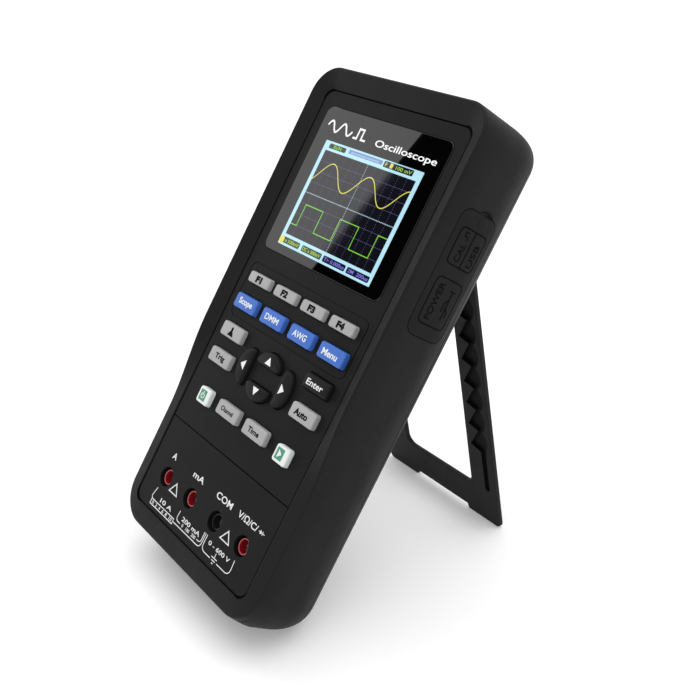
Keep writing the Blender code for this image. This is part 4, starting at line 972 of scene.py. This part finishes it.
def screw(name, node, x, z, hr, y0, y1, sr, tip):
    ob = loft(name, [at_y(circle(x, z, r, 36), y) for r, y in ((sr * .5, tip), (sr, tip + .8), (sr, y0), (hr, y0), (hr, y1 - .55), (hr - .12, y1 - .28), (hr - .45, y1 - .05), (hr - .9, y1))], "steel")
    h, w = hr * .55, .32
    cross = [(h, -w), (h, w), (w, w), (w, h), (-w, h), (-w, w), (-h, w), (-h, -w), (-w, -w), (-w, -h), (w, -h), (w, -w)]
    cut(ob, loft("x", [at_y([(x + a * s, z + b * s) for a, b in cross], y) for s, y in ((0.6, y1 - .75), (1.05, y1 + 1))]))
    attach(ob, "case")
    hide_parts(node)


for tag, (x, z) in SCREWS.items():
    screw("screw_" + tag, "case_screw_" + tag, x, z, 2.8, 35.9, 37.7, 1.4, 22.0)
screw("screw_door", "battery_door_screw", 0, 137.0, 2.3, 38.75, 39.7, 1.05, 33.0)

# ------------------------------------------------------------------ carried-over nodes get worked materials
CARRY = {"lcd_module": "lcd", "keypad_membrane": "silicone", "main_pcb": "pcb", "jack_housing": "black", "battery_tray": "black", "battery_cell_left": "cell", "battery_cell_right": "cell",
         "stand_rod": "steel", "power_socket": "nickel", "usb_socket": "nickel", "fuse": "glass", "buzzer": "black"}
for node, mat in CARRY.items():
    ob = NODES[node]
    if len(ob.material_slots) == 0:
        ob.data.materials.append(MAT[mat])
    for s in ob.material_slots:
        s.link = "OBJECT"
        s.material = MAT[mat]

# ------------------------------------------------------------------ camera
D3 = DEV.to_3x3()
cam_pos = DEV @ Vector((0.28576, -0.24321, 0.12934))
fwd = (D3 @ Vector((-0.7315, 0.6749, -0.0976))).normalized()
up = (D3 @ Vector((-0.3625, -0.2636, 0.8939))).normalized()
right = fwd.cross(up).normalized()
up = right.cross(fwd).normalized()
cam = bpy.data.cameras.new("camera")
cam.lens, cam.sensor_width = 52.58, 36.0
cam.shift_x, cam.shift_y = 0.0502, 0.0259
cam.clip_start, cam.clip_end = 0.01, 30.0
co = bpy.data.objects.new("camera", cam)
SC.collection.objects.link(co)
co.matrix_world = Matrix(((right.x, up.x, -fwd.x, cam_pos.x), (right.y, up.y, -fwd.y, cam_pos.y), (right.z, up.z, -fwd.z, cam_pos.z), (0, 0, 0, 1)))
SC.camera = co

# ------------------------------------------------------------------ floor, light
bm = bmesh.new()
RADII = (0.5, 1.0, 2.0, 4.0, 9.0)
rows = [[bm.verts.new((r * math.cos(math.radians(5 * k)), r * math.sin(math.radians(5 * k)), 0.0)) for k in range(72)] for r in RADII]
c0 = bm.verts.new((0, 0, 0))
for k in range(72):
    bm.faces.new((c0, rows[0][k], rows[0][(k + 1) % 72]))
for a, b in zip(rows, rows[1:]):
    for k in range(72):
        bm.faces.new((a[k], b[k], b[(k + 1) % 72], a[(k + 1) % 72]))
me = bpy.data.meshes.new("studio_floor")
bm.to_mesh(me)
bm.free()
me.transform(Matrix.Translation((0, 0, -0.0002)))
me.shade_smooth()
floor = bpy.data.objects.new("studio_floor", me)
SC.collection.objects.link(floor)
m, nt, s = nodes_of("mat_floor")
n = noise(nt, coords(nt), 3, 3)
nt.links.new(mix(nt, (0.86, 0.86, 0.86), (0.90, 0.90, 0.90), n), s.inputs["Base Color"])
s.inputs["Roughness"].default_value = 0.9
s.inputs["Specular IOR Level"].default_value = 0.1
s.inputs["Emission Color"].default_value = (1.0, 1.0, 1.0, 1)
s.inputs["Emission Strength"].default_value = 0.14
me.materials.append(m)

world = bpy.data.worlds.new("w")
SC.world = world
world.use_nodes = True
world.node_tree.nodes["Background"].inputs["Color"].default_value = (1, 1, 1, 1)
world.node_tree.nodes["Background"].inputs["Strength"].default_value = 0.92


def area(name, loc, target, sx, sy, power, upv=(0, 0, 1), shape="RECTANGLE"):
    li = bpy.data.lights.new(name, "AREA")
    li.shape = shape
    li.size, li.size_y = sx, sy
    li.energy = power
    ob = bpy.data.objects.new(name, li)
    SC.collection.objects.link(ob)
    z = (Vector(loc) - Vector(target)).normalized()
    x = Vector(upv).cross(z).normalized()
    y = z.cross(x)
    ob.matrix_world = Matrix(((x.x, y.x, z.x, loc[0]), (x.y, y.y, z.y, loc[1]), (x.z, y.z, z.z, loc[2]), (0, 0, 0, 1)))
    return ob


area("overhead", (0.0, 0.1, 1.5), (0, 0, 0), 2.2, 2.2, 14, (0, 1, 0))
# the softbox whose edge crosses the window: its edge lies in the plane through the camera's mirror image and the two ends of that line
def mirror(p):
    q = DEV.inverted() @ p
    return DEV @ Vector((q.x, 2 * 0.00015 - q.y, q.z))


mc = mirror(cam_pos)
e1 = DEV @ Vector((0.0187, 0.00015, 0.1846))
e2 = DEV @ Vector((-0.0032, 0.00015, 0.1245))
dist = 0.95
d1, d2 = (e1 - mc).normalized(), (e2 - mc).normalized()
p1, p2 = mc + d1 * (dist + (e1 - mc).length), mc + d2 * (dist + (e2 - mc).length)
edge = (p1 - p2).normalized()
mid = (p1 + p2) / 2
dm = ((d1 + d2) / 2).normalized()
nrm = -dm
side = nrm.cross(edge).normalized()
left_pt = DEV @ Vector((-0.034, 0.00015, 0.150))
if (mc + (left_pt - mc).normalized() * 1.2 - mid).dot(side) < 0:
    side = -side
W_, H_ = 0.42, 0.80
ctr = mid + side * (W_ / 2)
li = bpy.data.lights.new("softbox", "AREA")
li.shape, li.size, li.size_y, li.energy = "RECTANGLE", W_, H_, 1.75
ob = bpy.data.objects.new("softbox", li)
SC.collection.objects.link(ob)
zax = dm
xax = side
yax = zax.cross(xax).normalized()
ob.matrix_world = Matrix(((xax.x, yax.x, zax.x, ctr.x), (xax.y, yax.y, zax.y, ctr.y), (xax.z, yax.z, zax.z, ctr.z), (0, 0, 0, 1)))

# a matte black card behind the softbox, so that the rest of the window reflects dark
cc = mid + dm * 0.16 - side * 0.05
bm = bmesh.new()
f = [bm.verts.new(cc + side * a + edge * b) for a, b in ((-0.42, -0.36), (0.42, -0.36), (0.42, 0.42), (-0.42, 0.42))]
bm.faces.new(f)
me = bpy.data.meshes.new("flag_card")
bm.to_mesh(me)
bm.free()
card = bpy.data.objects.new("flag_card", me)
SC.collection.objects.link(card)
m, nt, s = nodes_of("mat_card")
n = noise(nt, coords(nt), 12, 3)
nt.links.new(mix(nt, (0.0010, 0.0010, 0.0010), (0.0018, 0.0018, 0.0018), n), s.inputs["Base Color"])
s.inputs["Roughness"].default_value = 0.95
s.inputs["Specular IOR Level"].default_value = 0.0
me.materials.append(m)
card.visible_camera = False

SC.view_settings.view_transform = "Standard"
SC.view_settings.look = "None"
SC.view_settings.exposure = 0.0
